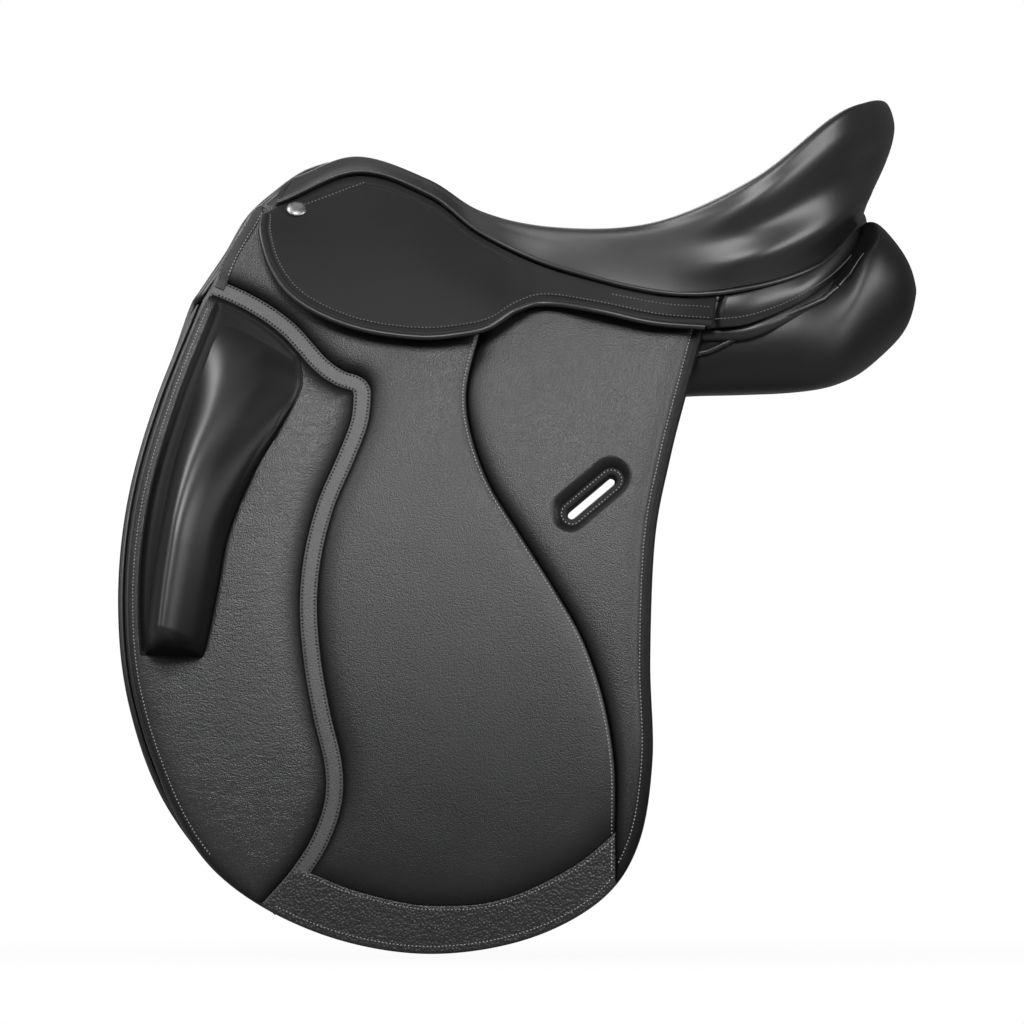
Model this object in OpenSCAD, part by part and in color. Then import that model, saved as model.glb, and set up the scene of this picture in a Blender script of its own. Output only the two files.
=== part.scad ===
// Dressage saddle with knee blocks, built as an assembly.
// Frame: X runs from pommel to cantle, Z is up, the origin is on the middle plane
// at the level on which the panels bear. The pieces of the right side are drawn at +Y,
// and those of the left side are their mirror images.
// Soft surfaces are drawn through stations and graded by the sizes below.

/* [Seat] */
// Seat size, from head nail to the middle of the cantle
seat_size = 432; // [410:1:455]
// Height of the pommel crest
pommel_height = 175; // [170:1:184]
// Height of the lowest part of the side line of the seat
seat_low = 123; // [119:1:128]
// Height of the cantle
cantle_height = 216; // [206:1:228]
// Distance of the pommel crest ahead of the origin
crest_fwd = 133; // [126:1:140]
// Width across the seams at the pommel crest
head_width = 100; // [94:1:106]
// Width across the seams at the twist
twist_width = 168; // [160:1:178]
// Greatest width across the seams
seat_width = 292; // [284:1:304]
// Thickness of the seat leather
cover_t = 3; // [2:0.25:3.5]
// Thickness of the seat foam
foam_t = 18; // [12:1:22]
// Depth of the dish behind the line of the rim
dish_depth = 9; // [5:1:12]

/* [Skirts] */
// Thickness of the skirt leather
skirt_t = 4; // [3:0.25:4.5]
// Diameter of the welt in the seam
welt_d = 4; // [3:0.25:4.5]
// How far the lower edge of the skirt stands off the flap
skirt_off = 23; // [22:0.5:26]
// Thickness of the facing round the cantle
facing_t = 3; // [2:0.25:3.5]
// Diameter of the roll on the front arch
roll_d = 9; // [7:0.5:10]

/* [Flaps] */
// Depth of the flap below the bearing level
flap_drop = 397; // [375:1:420]
// Reach of the flap ahead of the origin
flap_fwd = 304; // [294:1:320]
// Reach of the flap behind the origin
flap_back = 80; // [74:1:92]
// Half the width between the flaps at the bearing level
flap_spread = 142; // [139:1:148]
// Radius of the barrel that the flaps follow
barrel_r = 1100; // [1020:5:1250]
// Angle by which the flaps close in towards the front
toe = 5.7; // [5:0.1:6.5]
// Thickness of the flap leather
flap_t = 3; // [2:0.25:3.5]
// Thickness of the panels sewn on it
overlay_t = 2; // [1.25:0.25:2.5]
// How far the front edge of the flap lies inside that of the sweat flap
edge_inset = 7; // [5:0.5:9]
// Width of the strip that covers the knee seam
strip_w = 13; // [10:0.5:16]
// Depth of the band along the bottom
band_w = 34; // [26:1:40]
// Length of the girth keeper slot
slot_len = 44; // [36:1:50]
// Width of the girth keeper slot
slot_w = 7; // [6.5:0.25:9]
// Slope of the girth keeper slot
slot_angle = 40; // [36:1:46]
// Width of the patch round the slot
patch_rim = 10; // [7:0.5:13]
// Gap left for the fold of a leaf
fold_gap = 0.8; // [0.6:0.1:1.4]
// Thickness of the sweat flap
sweat_t = 4; // [3:0.25:5]

/* [Knee block] */
// Height of the block above the flap
block_h = 40; // [30:1:46]
// Length of the block
block_len = 250; // [225:1:262]
// Width of the block at its foot
block_w = 46; // [40:1:52]

/* [Panels] */
// Width of the gullet between the panels
gullet_w = 60; // [56:1:66]
// Thickness of the panels, as a share of the drawn ones
panel_fill = 1; // [0.9:0.01:1.03]
// Thickness of the lining of the channel
lining_t = 2.5; // [1.5:0.25:3]

/* [Girth straps] */
// Width of a strap
strap_w = 28; // [22:1:30]
// Thickness of a strap
strap_t = 4; // [3:0.25:4.5]
// Length of a strap below its rivet
strap_len = 330; // [270:1:345]
// Diameter of the buckle holes
hole_d = 5; // [4:0.25:6]
// Distance between buckle holes
hole_pitch = 25; // [20:1:26]
// Number of buckle holes
hole_count = 8; // [4:1:8]
// Width of the girth webs
web_w = 34; // [28:1:36]
// Thickness of the webs
web_t = 2; // [1:0.25:2.5]

/* [Tree] */
// Thickness of the tree
tree_t = 10; // [7:0.5:12]
// Width of the steel head plate
plate_w = 30; // [24:1:34]
// Thickness of the steel head plate
plate_t = 4; // [3:0.25:4.5]
// Thickness of the tree points
point_t = 11; // [9:0.5:12]
// Thickness of the spring steels
spring_t = 2.5; // [1.5:0.25:3]

/* [Stirrup bars] */
// Diameter of the bar
bar_d = 8; // [7:0.25:8.5]
// Length of the bar from its foot to the hinge of the catch
bar_len = 58; // [48:1:62]
// Diameter of the hinge pin
pin_d = 3; // [2.5:0.25:3.5]
// Length of the catch
catch_len = 17; // [14:1:18]

/* [Fasteners] */
// Diameter of the head nail
nail_d = 14.6; // [10:0.2:17]
// Height of the head nail
nail_h = 3.2; // [2:0.2:4]
// Diameter of the rivets
rivet_d = 5; // [4:0.25:6]
// Diameter of the screws in the flaps
screw_d = 4; // [3:0.25:5]
// Free space between pieces that lie on each other
gap = 0.3; // [0.25:0.05:0.4]
// Clearance of pins in their holes
pin_gap = 0.1; // [0.05:0.05:0.2]

/* [Hidden] */
$fn = 32;

// Heights and places that follow from the sizes
hp = pommel_height;
hl = seat_low;
hc = cantle_height;
head_half = head_width / 2;
twist_half = twist_width / 2;
seat_half = seat_width / 2;
crest_x = -crest_fwd;
nail_x = crest_x - 45;
nail_z = hp - 39;
cantle_x = nail_x + sqrt(seat_size * seat_size - (hc - nail_z) * (hc - nail_z));

function lerp(a, b, t) = a + (b - a) * t;
function unit(v) = v / norm(v);
function sum(v) = v * [for (x = v) 1];
function ease(t) = t <= 0 ? 0 : t >= 1 ? 1 : t * t * (3 - 2 * t);
function bend(a, b, c, d, t) =
  0.5 * (2 * b + (c - a) * t + (2 * a - 5 * b + 4 * c - d) * t * t
    + (3 * b - a - 3 * c + d) * t * t * t);
// Smooth line through the points p, s counted in points
function at(p, s) =
  let (n = len(p) - 1)
  let (i = max(0, min(floor(s), n - 1)))
  let (a = i > 0 ? p[i - 1] : 2 * p[0] - p[1])
  let (d = i < n - 1 ? p[i + 2] : 2 * p[n] - p[n - 1])
  bend(a, p[i], p[i + 1], d, s - i);
function curve(p, m) = [for (k = [0 : m]) at(p, k * (len(p) - 1) / m)];
function back(p) = [for (k = [len(p) - 1 : -1 : 0]) p[k]];
function flip(q) = [q[0], -q[1], q[2]];
function side2(p, i) =
  let (t = unit(p[min(i + 1, len(p) - 1)] - p[max(i - 1, 0)]))
  [-t[1], t[0]];
// Line moved sideways by d
function beside(p, d) = [for (i = [0 : len(p) - 1]) p[i] + d * side2(p, i)];

// Seat: three lines from the front corner to the middle of the cantle
// Seam line of the seat leather
welt = [
  [crest_x - 58, head_half + 12, hp - 34],
  [crest_x, head_half, hp - 9.5],
  [0.60 * crest_x, lerp(head_half, twist_half, 0.38), lerp(hp, hl, 0.50)],
  [0.31 * crest_x, twist_half, hl - 3],
  [0.057 * cantle_x, lerp(twist_half, seat_half, 0.58), hl - 27],
  [0.374 * cantle_x, seat_half - 1, hl - 44.5],
  [0.622 * cantle_x, seat_half, hl - 39.5],
  [0.821 * cantle_x, 0.79 * seat_half, hl - 23],
  [0.927 * cantle_x, 0.45 * seat_half, lerp(hl, hc, 0.03)],
  [0.954 * cantle_x, 0, lerp(hl, hc, 0.16)]
];
// Crest of the rim
rim = [
  [crest_x - 42, 0.58 * welt[0][1], hp - 15],
  [crest_x, 0.50 * welt[1][1], hp - 1.2],
  [0.61 * crest_x, 0.54 * welt[2][1], lerp(hp, hl, 0.365)],
  [0.32 * crest_x, 0.62 * welt[3][1], hl + 9.5],
  [0.040 * cantle_x, 0.69 * welt[4][1], hl - 0.5],
  [0.333 * cantle_x, 0.78 * welt[5][1], hl + 5],
  [0.618 * cantle_x, 0.88 * welt[6][1], lerp(hl, hc, 0.385)],
  [0.841 * cantle_x, 0.92 * welt[7][1], lerp(hl, hc, 0.845)],
  [0.945 * cantle_x, 0.95 * welt[8][1], hc - 2],
  [0.977 * cantle_x, 0, hc]
];
// Middle line of the seat
spine = [
  [crest_x - 18, 0, hp - 4.5],
  [crest_x, 0, hp],
  [0.64 * crest_x, 0, lerp(hp, hl, 0.345)],
  [0.34 * crest_x, 0, hl + 11],
  [0, 0, hl - 1.5],
  [0.244 * cantle_x, 0, hl - 11],
  [0.467 * cantle_x, 0, hl - 8],
  [0.610 * cantle_x, 0, hl - 1],
  [0.699 * cantle_x, 0, hl + 9],
  [0.732 * cantle_x, 0, hl + 17]
];
rim_r = [4, 5, 6, 8, 10, 12, 13, 13, 13.5, 14];
swell = [1.5, 2, 3, 5, 7, 9, 9, 9, 10, 10];
dish = [0, 0, 0, 0, 0.5, 0.7, 1, 1, 1, 0.9];
fill = [0.45, 0.45, 0.6, 0.85, 1, 1, 1, 1, 1, 1];
edge_fill = [0.2, 0.3, 0.6, 1, 1, 1];
st = len(welt) - 1;

// Point of the seat: u in stations, v from seam (0) to middle (1), depth d plus share f of the foam
function seat(u, v, d, f) =
  let (w = at(welt, u))
  let (r = at(rim, u))
  let (c = at(spine, u))
  let (k = at(rim_r, u))
  let (o = unit([w[0] - c[0], w[1], 0]))
  let (t = unit(r - w))
  let (n = seat_in(u))
  let (m = f * foam_t * at(fill, u))
  let (p0 = w + n * (d + m * edge_fill[0]))
  let (p1 = lerp(w, r, 0.45) + n * (d + m * edge_fill[1] - at(swell, u)))
  let (p2 = r - t * k + n * (-0.95 * k) + unit(n + [0, 0, -0.8]) * (d + m * edge_fill[2]))
  let (p3 = r + ([0, 0, -1] - 0.35 * t[2] * o) * (d + m * edge_fill[3]))
  let (p4 = lerp(r, c, 0.5) + [0, 0, -d - m - dish_depth * at(dish, u)])
  let (p5 = c + [0, 0, -d - m])
  let (p = [p0, p1, p2, p3, p4, p5, flip(p4)])
  let (s = 5 * v)
  let (i = min(floor(s), 4))
  bend(i > 0 ? p[i - 1] : 2 * p0 - p1, p[i], p[i + 1], p[i + 2], s - i);

// Direction from the seam into the seat
function seat_in(u) =
  let (w = at(welt, u))
  let (c = at(spine, u))
  let (o = unit([w[0] - c[0], w[1], 0]))
  let (t = unit(at(rim, u) - w))
  [-o[0] * t[2], -o[1] * t[2], t * o];

// Depths of the layers under the seat leather
d_foam = cover_t + gap;
d_web2 = d_foam + 3 * gap;
d_web1 = d_web2 + web_t + 3 * gap;
d_tree = d_web1 + web_t + 4 * gap;
d_spring = d_tree + tree_t + 8 * gap;

// Barrel on which the leaves of the flaps lie, d outwards
barrel_z = -flap_drop - 23;
barrel_y = flap_spread - sqrt(barrel_r * barrel_r - barrel_z * barrel_z);
function bow(z, d) = barrel_y + sqrt((barrel_r + d) * (barrel_r + d) - (z - barrel_z) * (z - barrel_z));
function barrel(x, z, d) = (bow(z, d) + x * sin(toe)) / cos(toe);
function lean(z) = asin((z - barrel_z) / barrel_r);
function on_leaf(q, d) = [q[0], barrel(q[0], q[1], d), q[1]];

// Layers of the flap
l_over0 = flap_t + gap;
l_over1 = l_over0 + overlay_t;
l_strip1 = l_over1 + 0.8;
l_web1 = -gap - 0.3;
l_web0 = l_web1 - web_t;
l_strap1 = l_web0 - gap;
l_strap0 = l_strap1 - strap_t;
l_sweat1 = l_strap0 - 1.6;
l_sweat0 = l_sweat1 - sweat_t;
l_point1 = -gap;
l_point0 = l_point1 - point_t;

// Patterns of the leaves in X and Z, drawn for the base size and graded
base_fwd = 304;
base_back = 80;
base_drop = 397;
function grade(q) = [
  q[0] * (q[0] < 0 ? flap_fwd / base_fwd : flap_back / base_back),
  q[1] * (q[1] < 0 ? flap_drop / base_drop : 1)
];
function graded(p) = [for (q = p) grade(q)];

outline = curve(graded([
  [-249, 72], [-277, 0], [-297, -72], [-304, -144], [-297, -216], [-271, -288],
  [-224, -346], [-160, -382], [-86, -397], [-14, -388], [42, -360], [70, -320],
  [80.5, -259], [79, -187], [82.5, -101], [93.5, -43], [105, 2], [118, 50]
]), 68);
flap_line = [for (i = [0 : len(outline) - 1])
  outline[i] + edge_inset * (1 - ease((i - 20) / 6)) * side2(outline, i)];
// Fold of the flap, from its front edge to its rear edge
fold_a = grade([-241, 66]);
fold_b = grade([104, -1]);
function fold_z(x, d) = lerp(fold_a[1], fold_b[1], (x - fold_a[0]) / (fold_b[0] - fold_a[0])) + d;
seam = curve(graded([
  [-209, 67], [-180, 50], [-157, 25], [-133, 11], [-126, -8], [-134, -34], [-148, -62],
  [-160, -100], [-166, -150], [-163, -190], [-155, -228], [-147, -262], [-148, -290],
  [-158, -318], [-178, -346], [-200, -372]
]), 60);
s_line = curve(graded([
  [-38, 60], [-44, 40], [-52, 5], [-49, -26], [-36, -62], [-14, -98], [10, -136],
  [31, -173], [46, -216], [54, -262], [54, -330], [54, -372]
]), 44);
base_band = 34;
band_line = [for (q = curve(graded([
  [-185, -326], [-164, -337], [-133, -352], [-96, -361], [-64, -363], [-30, -359],
  [2, -347], [30, -331], [64, -304]
]), 32)) q + [0, band_w - base_band]];

module slab(d0, d1) {
  zs = [for (k = [0 : 22]) lerp(-flap_drop - 8, 150, k / 22)];
  rotate([0, 0, toe])
    translate([-480, 0, 0])
      rotate([90, 0, 90])
        linear_extrude(height = 760)
          polygon(concat([for (z = zs) [bow(z, d0), z]], [for (z = back(zs)) [bow(z, d1), z]]));
}
module prism(p) {
  rotate([90, 0, 0])
    translate([0, 0, -420])
      linear_extrude(height = 420)
        polygon(p);
}
module leaf(p, d0, d1) {
  intersection() {
    slab(d0, d1);
    prism(p);
  }
}
// Frame on the leaf: X along it, Y outwards, Z up the leaf
module at_leaf(x, z, d) {
  translate(on_leaf([x, z], d))
    rotate([lean(z), 0, toe])
      children();
}
// Round bar along the local Y
module stud(r, y0, y1) {
  translate([0, y0, 0])
    rotate([-90, 0, 0])
      cylinder(r = r, h = y1 - y0);
}
module left() {
  mirror([0, 1, 0])
    children();
}

// Closed solid between two grids of points. With zip, both halves of the last row are one line
module skin(a, b, zip = false) {
  n = len(a);
  m = len(a[0]);
  pts = concat([for (r = a) each r], [for (r = b) each r]);
  function t(i, j) = i * m + (zip && i == n - 1 ? min(j, m - 1 - j) : j);
  function u(i, j) = n * m + t(i, j);
  quads = concat(
    [for (i = [0 : n - 2], j = [0 : m - 2]) [t(i, j), t(i + 1, j), t(i + 1, j + 1), t(i, j + 1)]],
    [for (i = [0 : n - 2], j = [0 : m - 2]) [u(i, j), u(i, j + 1), u(i + 1, j + 1), u(i + 1, j)]],
    [for (i = [0 : n - 2]) [t(i + 1, 0), t(i, 0), u(i, 0), u(i + 1, 0)]],
    [for (i = [0 : n - 2]) [t(i, m - 1), t(i + 1, m - 1), u(i + 1, m - 1), u(i, m - 1)]],
    [for (j = [0 : m - 2]) [t(0, j), t(0, j + 1), u(0, j + 1), u(0, j)]],
    zip ? [] : [for (j = [0 : m - 2]) [t(n - 1, j + 1), t(n - 1, j), u(n - 1, j), u(n - 1, j + 1)]]
  );
  tris = concat([for (q = quads) [q[0], q[1], q[2]]], [for (q = quads) [q[0], q[2], q[3]]]);
  solid(pts, tris);
}
// Closed solid through rings of points, as a bar with ends or as a loop
module sweep(rings, loop = false) {
  n = len(rings);
  m = len(rings[0]);
  pts = [for (r = rings) each r];
  function t(i, j) = (i % n) * m + (j % m);
  walls = [for (i = [0 : loop ? n - 1 : n - 2], j = [0 : m - 1])
    [t(i, j), t(i + 1, j), t(i + 1, j + 1), t(i, j + 1)]];
  ends = loop ? [] : concat(
    [for (j = [1 : m - 2]) [t(0, 0), t(0, j), t(0, j + 1)]],
    [for (j = [1 : m - 2]) [t(n - 1, 0), t(n - 1, j + 1), t(n - 1, j)]]
  );
  tris = concat([for (q = walls) [q[0], q[1], q[2]]], [for (q = walls) [q[0], q[2], q[3]]], ends);
  solid(pts, tris);
}
module solid(pts, tris) {
  vol = sum([for (q = tris) pts[q[0]] * cross(pts[q[1]], pts[q[2]])]);
  polyhedron(points = pts, faces = vol > 0 ? [for (q = tris) [q[0], q[2], q[1]]] : tris, convexity = 8);
}
// Round bar along a line of points
module tube(line, r, m) {
  n = len(line);
  rings = [for (i = [0 : n - 1])
    let (t = unit(line[min(i + 1, n - 1)] - line[max(i - 1, 0)]))
    let (a = unit(cross(t, abs(t[1]) > 0.9 ? [0, 0, 1] : [0, 1, 0.2])))
    let (b = cross(t, a))
    [for (k = [0 : m - 1]) line[i] + r * (cos(360 * k / m) * a + sin(360 * k / m) * b)]];
  sweep(rings);
}

// Grid of seat points at one depth, from the right seam over the middle to the left seam
nu = 30;
nv = 9;
function seat_grid(d, f) = [for (i = [0 : nu])
  let (h = [for (j = [0 : nv]) seat(st * i / nu, j / nv, d, f)])
  concat(h, [for (j = [nv - 1 : -1 : 0]) flip(h[j])])];

module seat_cover() {
  color("dimgray")
    skin(seat_grid(0, 0), seat_grid(cover_t, 0), zip = true);
}
module seat_foam() {
  color("khaki")
    skin(seat_grid(d_foam, 0), seat_grid(d_foam, 1), zip = true);
}

// Tree: a loop of laminated board under the foam
tree_out = [
  [0.25, 1], [0.25, 0.62], [0.4, 0.2], [1, 0.06], [2, 0.05], [3, 0.06],
  [4, 0.3], [5, 0.62], [6, 0.64], [7, 0.62], [8, 0.6], [9, 0.58]
];
tree_in = [
  [1.05, 1], [1.1, 0.85], [1.35, 0.68], [1.7, 0.6], [2.2, 0.55], [3, 0.58],
  [4, 0.72], [5, 0.84], [6, 0.86], [7, 0.86], [8, 0.88], [9, 0.9]
];
function tree_uv(t, s) = lerp(at(tree_out, t * 11), at(tree_in, t * 11), s);
function tree_pt(t, s, d) = let (q = tree_uv(t, s)) seat(q[0], q[1], d, 1);
function tree_ring(t) = concat(
  [for (s = [0, 0.33, 0.67, 1]) tree_pt(t, s, d_tree)],
  [for (s = [1, 0.67, 0.33, 0]) tree_pt(t, s, d_tree + tree_t)]
);
tree_n = 48;
module tree() {
  n = tree_n;
  right = [for (i = [0 : n]) tree_ring(i / n)];
  left = [for (i = [n - 1 : -1 : 1]) [for (q = right[i]) flip(q)]];
  color("burlywood")
    sweep(concat(right, left), loop = true);
}
module spring() {
  function edge(t, s, d) = lerp(tree_pt(t, 0.33, d), tree_pt(t, 0.67, d), s);
  rings = [for (i = [10 : tree_n - 5])
    let (t = i / tree_n)
    [edge(t, 0.2, d_spring), edge(t, 0.8, d_spring),
      edge(t, 0.8, d_spring + spring_t), edge(t, 0.2, d_spring + spring_t)]];
  color("slategray")
    sweep(rings);
}
module left_spring() {
  left()
    spring();
}
module right_spring() {
  spring();
}

// Head plate: a steel arch under the front of the tree, its legs inside the points
plate_x = crest_x - 8;
l_plate1 = l_point0 - gap;
function plate_at(x, d) =
  let (top = seat(0.62, 1, d_spring + plate_t, 1))
  concat(
    [for (z = [52, 70, 88, 104]) [barrel(x, z, l_plate1 - plate_t + d - (z > 100 ? 2.5 : 0)), z]],
    [[0.62 * barrel(x, 118, l_plate1 - plate_t + d), 0.5 * (104 + top[2]) + 6 + 0.8 * d]],
    [[0, top[2] - 2.4 + d]]
  );
module head_plate() {
  n = 14;
  function row(x, d) =
    let (h = curve(plate_at(x, d), n))
    concat([for (q = h) [x, q[0], q[1]]], [for (k = [n - 1 : -1 : 0]) [x, -h[k][0], h[k][1]]]);
  x0 = plate_x - plate_w / 2;
  x1 = plate_x + plate_w / 2;
  color("silver")
    difference() {
      skin([row(x0, plate_t), row(x1, plate_t)], [row(x0, 0), row(x1, 0)]);
      point_rivets_at(rivet_d / 2 + pin_gap, -40, 10);
      left()
        point_rivets_at(rivet_d / 2 + pin_gap, -40, 10);
    }
}

// Webs: one along the seat, two across the tree for the girth straps
module seat_web() {
  n = 22;
  run = concat([for (i = [0 : n]) [lerp(0.75, st, i / n), 1]], [for (v = [0.97, 0.94, 0.91, 0.88, 0.85]) [st, v]]);
  // Half width: narrow at the head and where the web runs up the cantle
  function half(q) = q[1] < 1 ? 4 : lerp(18, 4, ease((q[0] - 6.2) / 2.4));
  function low(u, y, d) = seat(u, 1 - 0.4 * y / at(rim, u)[1], d, 1);
  function row(q, d) =
    let (c = seat(q[0], q[1], d - (q[1] < 1 ? 3 * gap : 0), 1))
    let (h = half(q))
    let (r = [for (y = [h, h / 2]) q[0] < 8 ? low(q[0], y, d) : c + [0, y, 0]])
    concat(r, [c], [for (k = [1, 0]) flip(r[k])]);
  color("ivory")
    skin([for (q = run) row(q, d_web1)], [for (q = run) row(q, d_web1 + web_t)]);
}
strap_x = [-86, -25];
strap_z = 42;
web_u = [1.87, 3.32];
module girth_web(k) {
  du = k == 0 ? 0.36 : 0.3;
  zs = [24, 36, 48, 60, 72, 82];
  vs = [0.0, 0.06, 0.12, 0.2, 0.3, 0.42, 0.55, 0.68, 0.8, 0.9, 1];
  function half(e, low) = concat(
    [for (z = zs) on_leaf([strap_x[k] + e * web_w / 2, z], low ? l_web0 : l_web1)],
    [for (v = vs) seat(web_u[k] + e * du, v, d_web2 + (low ? web_t : 0), 1)]
  );
  function row(e, low) =
    let (h = half(e, low))
    concat(h, [for (i = [len(h) - 2 : -1 : 0]) flip(h[i])]);
  color("ivory")
    difference() {
      skin([for (e = [-1, 0, 1]) row(e, false)], [for (e = [-1, 0, 1]) row(e, true)]);
      strap_hole(k, 12);
      left()
        strap_hole(k, 12);
    }
}
module front_girth_web() {
  girth_web(0);
}
module rear_girth_web() {
  girth_web(1);
}

// Skirts: a fixed part under the welt and, at the front, a lobe that lifts over the stirrup bar
function out(x, z, d) = [x, barrel(x, z, d), z];
lobe_a = out(crest_x - 67, hp - 39, 15);
lobe_b = [0.015 * cantle_x, lerp(twist_half, seat_half, 0.78), hl - 52.5];
lobe_low = [
  lobe_a,
  out(crest_x - 68, hp - 54, skirt_off - 3),
  out(crest_x - 61, hp - 78, skirt_off - 1),
  out(crest_x - 47, hp - 98, skirt_off),
  out(crest_x - 24, hp - 113, skirt_off),
  out(crest_x + 8, hp - 124, skirt_off),
  out(0.65 * crest_x, hp - 129, skirt_off),
  out(0.44 * crest_x, hp - 127, skirt_off),
  out(0.28 * crest_x, hp - 122, skirt_off + 1),
  out(0.13 * crest_x, hp - 109, skirt_off + 1),
  lobe_b
];
skirt_low = [
  [0.17 * cantle_x, lerp(twist_half, seat_half, 0.92), hl - 58],
  [0.33 * cantle_x, seat_half + 1, hl - 67],
  [0.50 * cantle_x, seat_half + 2, hl - 71]
];
fold_pts = [for (s = [0, 0.15, 0.33, 0.5, 0.67, 0.84]) lerp(lobe_a, lobe_b, s)];
skirt_edge = concat(fold_pts, [lobe_b], skirt_low);
skirt_u = [0, 0.42, 1.05, 1.8, 2.5, 3.2, 3.85, 4.35, 4.95, 5.55];
facing_u0 = 5.6;
facing_low = [
  [0.51 * cantle_x, seat_half + 2, hl - 71.5],
  [0.60 * cantle_x, seat_half + 2, hl - 69],
  [0.70 * cantle_x, seat_half - 6, hl - 60],
  [0.80 * cantle_x, 0.87 * seat_half, hl - 47],
  [0.885 * cantle_x, 0.66 * seat_half, hl - 29],
  [0.940 * cantle_x, 0.40 * seat_half, hl - 10],
  [0.957 * cantle_x, 0, hl + 4]
];
facing_u = [facing_u0, 6.0, 6.5, 7.05, 7.65, 8.3, st];

// Grids of a leather strip from the welt to a lower edge, thickness t inwards
function strip_row(w, l, t, n, m) =
  let (d = unit(l - w))
  let (p = w + d * (welt_d + 4 * gap))
  [for (k = [0 : m]) lerp(p, l, k / m) + n * t];
function inward(w, l, s) =
  let (d = unit(l - w))
  let (n = unit(cross(s, d)))
  n[2] > 0 || (abs(n[2]) < 0.2 && n * [w[0] > 180 ? 1 : 0, 1, 0] > 0) ? -n : n;
function strip_grid(us, ls, t, n, m) = [for (i = [0 : n])
  let (s = i / n * (len(us) - 1))
  let (w = at(welt, at(us, s)))
  let (l = at(ls, s))
  let (l2 = at(ls, min(s + 0.05, len(us) - 1)))
  let (l1 = at(ls, s - 0.05 < 0 ? 0 : s - 0.05))
  strip_row(w, l, t, inward(w, l, unit(l2 - l1)), m)];

module skirt() {
  color("dimgray")
    difference() {
      skin(strip_grid(skirt_u, skirt_edge, 0, 30, 4), strip_grid(skirt_u, skirt_edge, skirt_t, 30, 4));
      nail_place()
        stud(1.8, -30, 30);
    }
}
module left_skirt() {
  left()
    skirt();
}
module right_skirt() {
  skirt();
}
// Lobe: from its fold line to its rounded lower edge
function lobe_row(s, t) =
  let (a = at(fold_all, s * 6))
  let (l = at(lobe_low, s * 10))
  let (d = unit(l - a + [0, 0, -0.01]))
  let (n = unit(cross(d, lobe_b - lobe_a)))
  let (q = n[1] > 0 ? -n : n)
  [for (k = [0 : 6])
    lerp(a + d * 2 * fold_gap, l, k / 6) - q * 4 * sin(180 * min(1, k / 6)) * sin(180 * s) + q * t];
fold_all = concat(fold_pts, [lobe_b]);
module skirt_lobe() {
  n = 28;
  color("dimgray")
    skin([for (i = [0 : n]) lobe_row(lerp(0.03, 0.97, i / n), 0)],
      [for (i = [0 : n]) lobe_row(lerp(0.03, 0.97, i / n), skirt_t)]);
}
module left_skirt_lobe() {
  left()
    skirt_lobe();
}
module right_skirt_lobe() {
  skirt_lobe();
}
module cantle_facing() {
  n = 20;
  a = strip_grid(facing_u, facing_low, 0, n, 3);
  b = strip_grid(facing_u, facing_low, facing_t, n, 3);
  function whole(g) = concat(g, [for (i = [n - 1 : -1 : 0]) [for (q = g[i]) flip(q)]]);
  color("dimgray")
    skin(whole(a), whole(b));
}
// Welt: a piped cord between seat leather and skirt
module welt_cord() {
  line = [for (i = [0 : 26])
    let (u = i == 0 ? 0.05 : st * i / nu)
    let (w = at(welt, u))
    let (l = u < 5.55 ? at(skirt_edge, lookup(u, [for (k = [0 : 9]) [skirt_u[k], k]]))
      : at(facing_low, lookup(u, [for (k = [0 : 6]) [facing_u[k], k]])))
    w + unit(unit(l - w) - 0.8 * seat_in(u)) * (welt_d / 2 + 4.5 * gap)];
  color("black")
    tube(line, welt_d / 2, 8);
}
module left_welt() {
  left()
    welt_cord();
}
module right_welt() {
  welt_cord();
}
// Roll on the front arch, and the facing under it
roll_line = [
  out(grade([-240.5, 76])[0], 76, l_point1 - roll_d / 2),
  out(crest_x - 91, hp - 71, l_point1 - roll_d / 2 - 0.5),
  out(crest_x - 75, hp - 44, l_point1 - roll_d / 2 - 3),
  [crest_x - 56, 0.76 * head_half, hp - 25],
  [crest_x - 38.5, 0.44 * head_half, hp - 14],
  [crest_x - 23.5, 0, hp - 8.5]
];
module pommel_roll() {
  h = curve(roll_line, 25);
  color("dimgray")
    tube(concat(h, [for (k = [24 : -1 : 0]) flip(h[k])]), roll_d / 2, 10);
}
module front_facing() {
  n = 12;
  roll = curve([for (k = [5 : -1 : 2]) roll_line[k]], n);
  low = curve([
    [crest_x - 30, 0, hp - 33], [crest_x - 36, 13, hp - 37], [crest_x - 49, 26, hp - 45], [crest_x - 64, 36, hp - 53]
  ], n);
  function half(d) = [for (i = [0 : n])
    let (a = unit(low[i] - roll[i]))
    [for (k = [0 : 2]) lerp(roll[i] + a * (roll_d / 2 + gap), low[i], k / 2) + [d, 0, 0]]];
  function whole(g) = concat([for (i = [n : -1 : 1]) [for (q = g[i]) flip(q)]], g);
  color("dimgray")
    skin(whole(half(0)), whole(half(2.5)));
}
// Head nail: a plain domed stud on the skirt
nail_w = at(strip_grid([0, 0.42, 1.05], [fold_all[0], fold_all[1], fold_all[2]], 0, 8, 4), 3);
nail_p = nail_w[2];
nail_n = inward(nail_w[0], nail_w[4], lobe_b - lobe_a);
module nail_place() {
  a = -nail_n;
  translate(nail_p)
    rotate([0, 0, atan2(a[1], a[0]) - 90])
      rotate([atan2(a[2], norm([a[0], a[1]])), 0, 0])
        children();
}
module head_nail() {
  color("silver")
    nail_place()
      rotate([-90, 0, 0])
        rotate_extrude()
          polygon(concat(
            [[0, -8], [1.5, -8], [1.5, gap]],
            [for (k = [0 : 8]) [nail_d / 2 * cos(k * 11.25), gap + 0.8 + (nail_h - 0.8) * sin(k * 11.25)]],
            [[0, gap + nail_h]]
          ));
}
module left_head_nail() {
  left()
    head_nail();
}
module right_head_nail() {
  head_nail();
}

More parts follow.
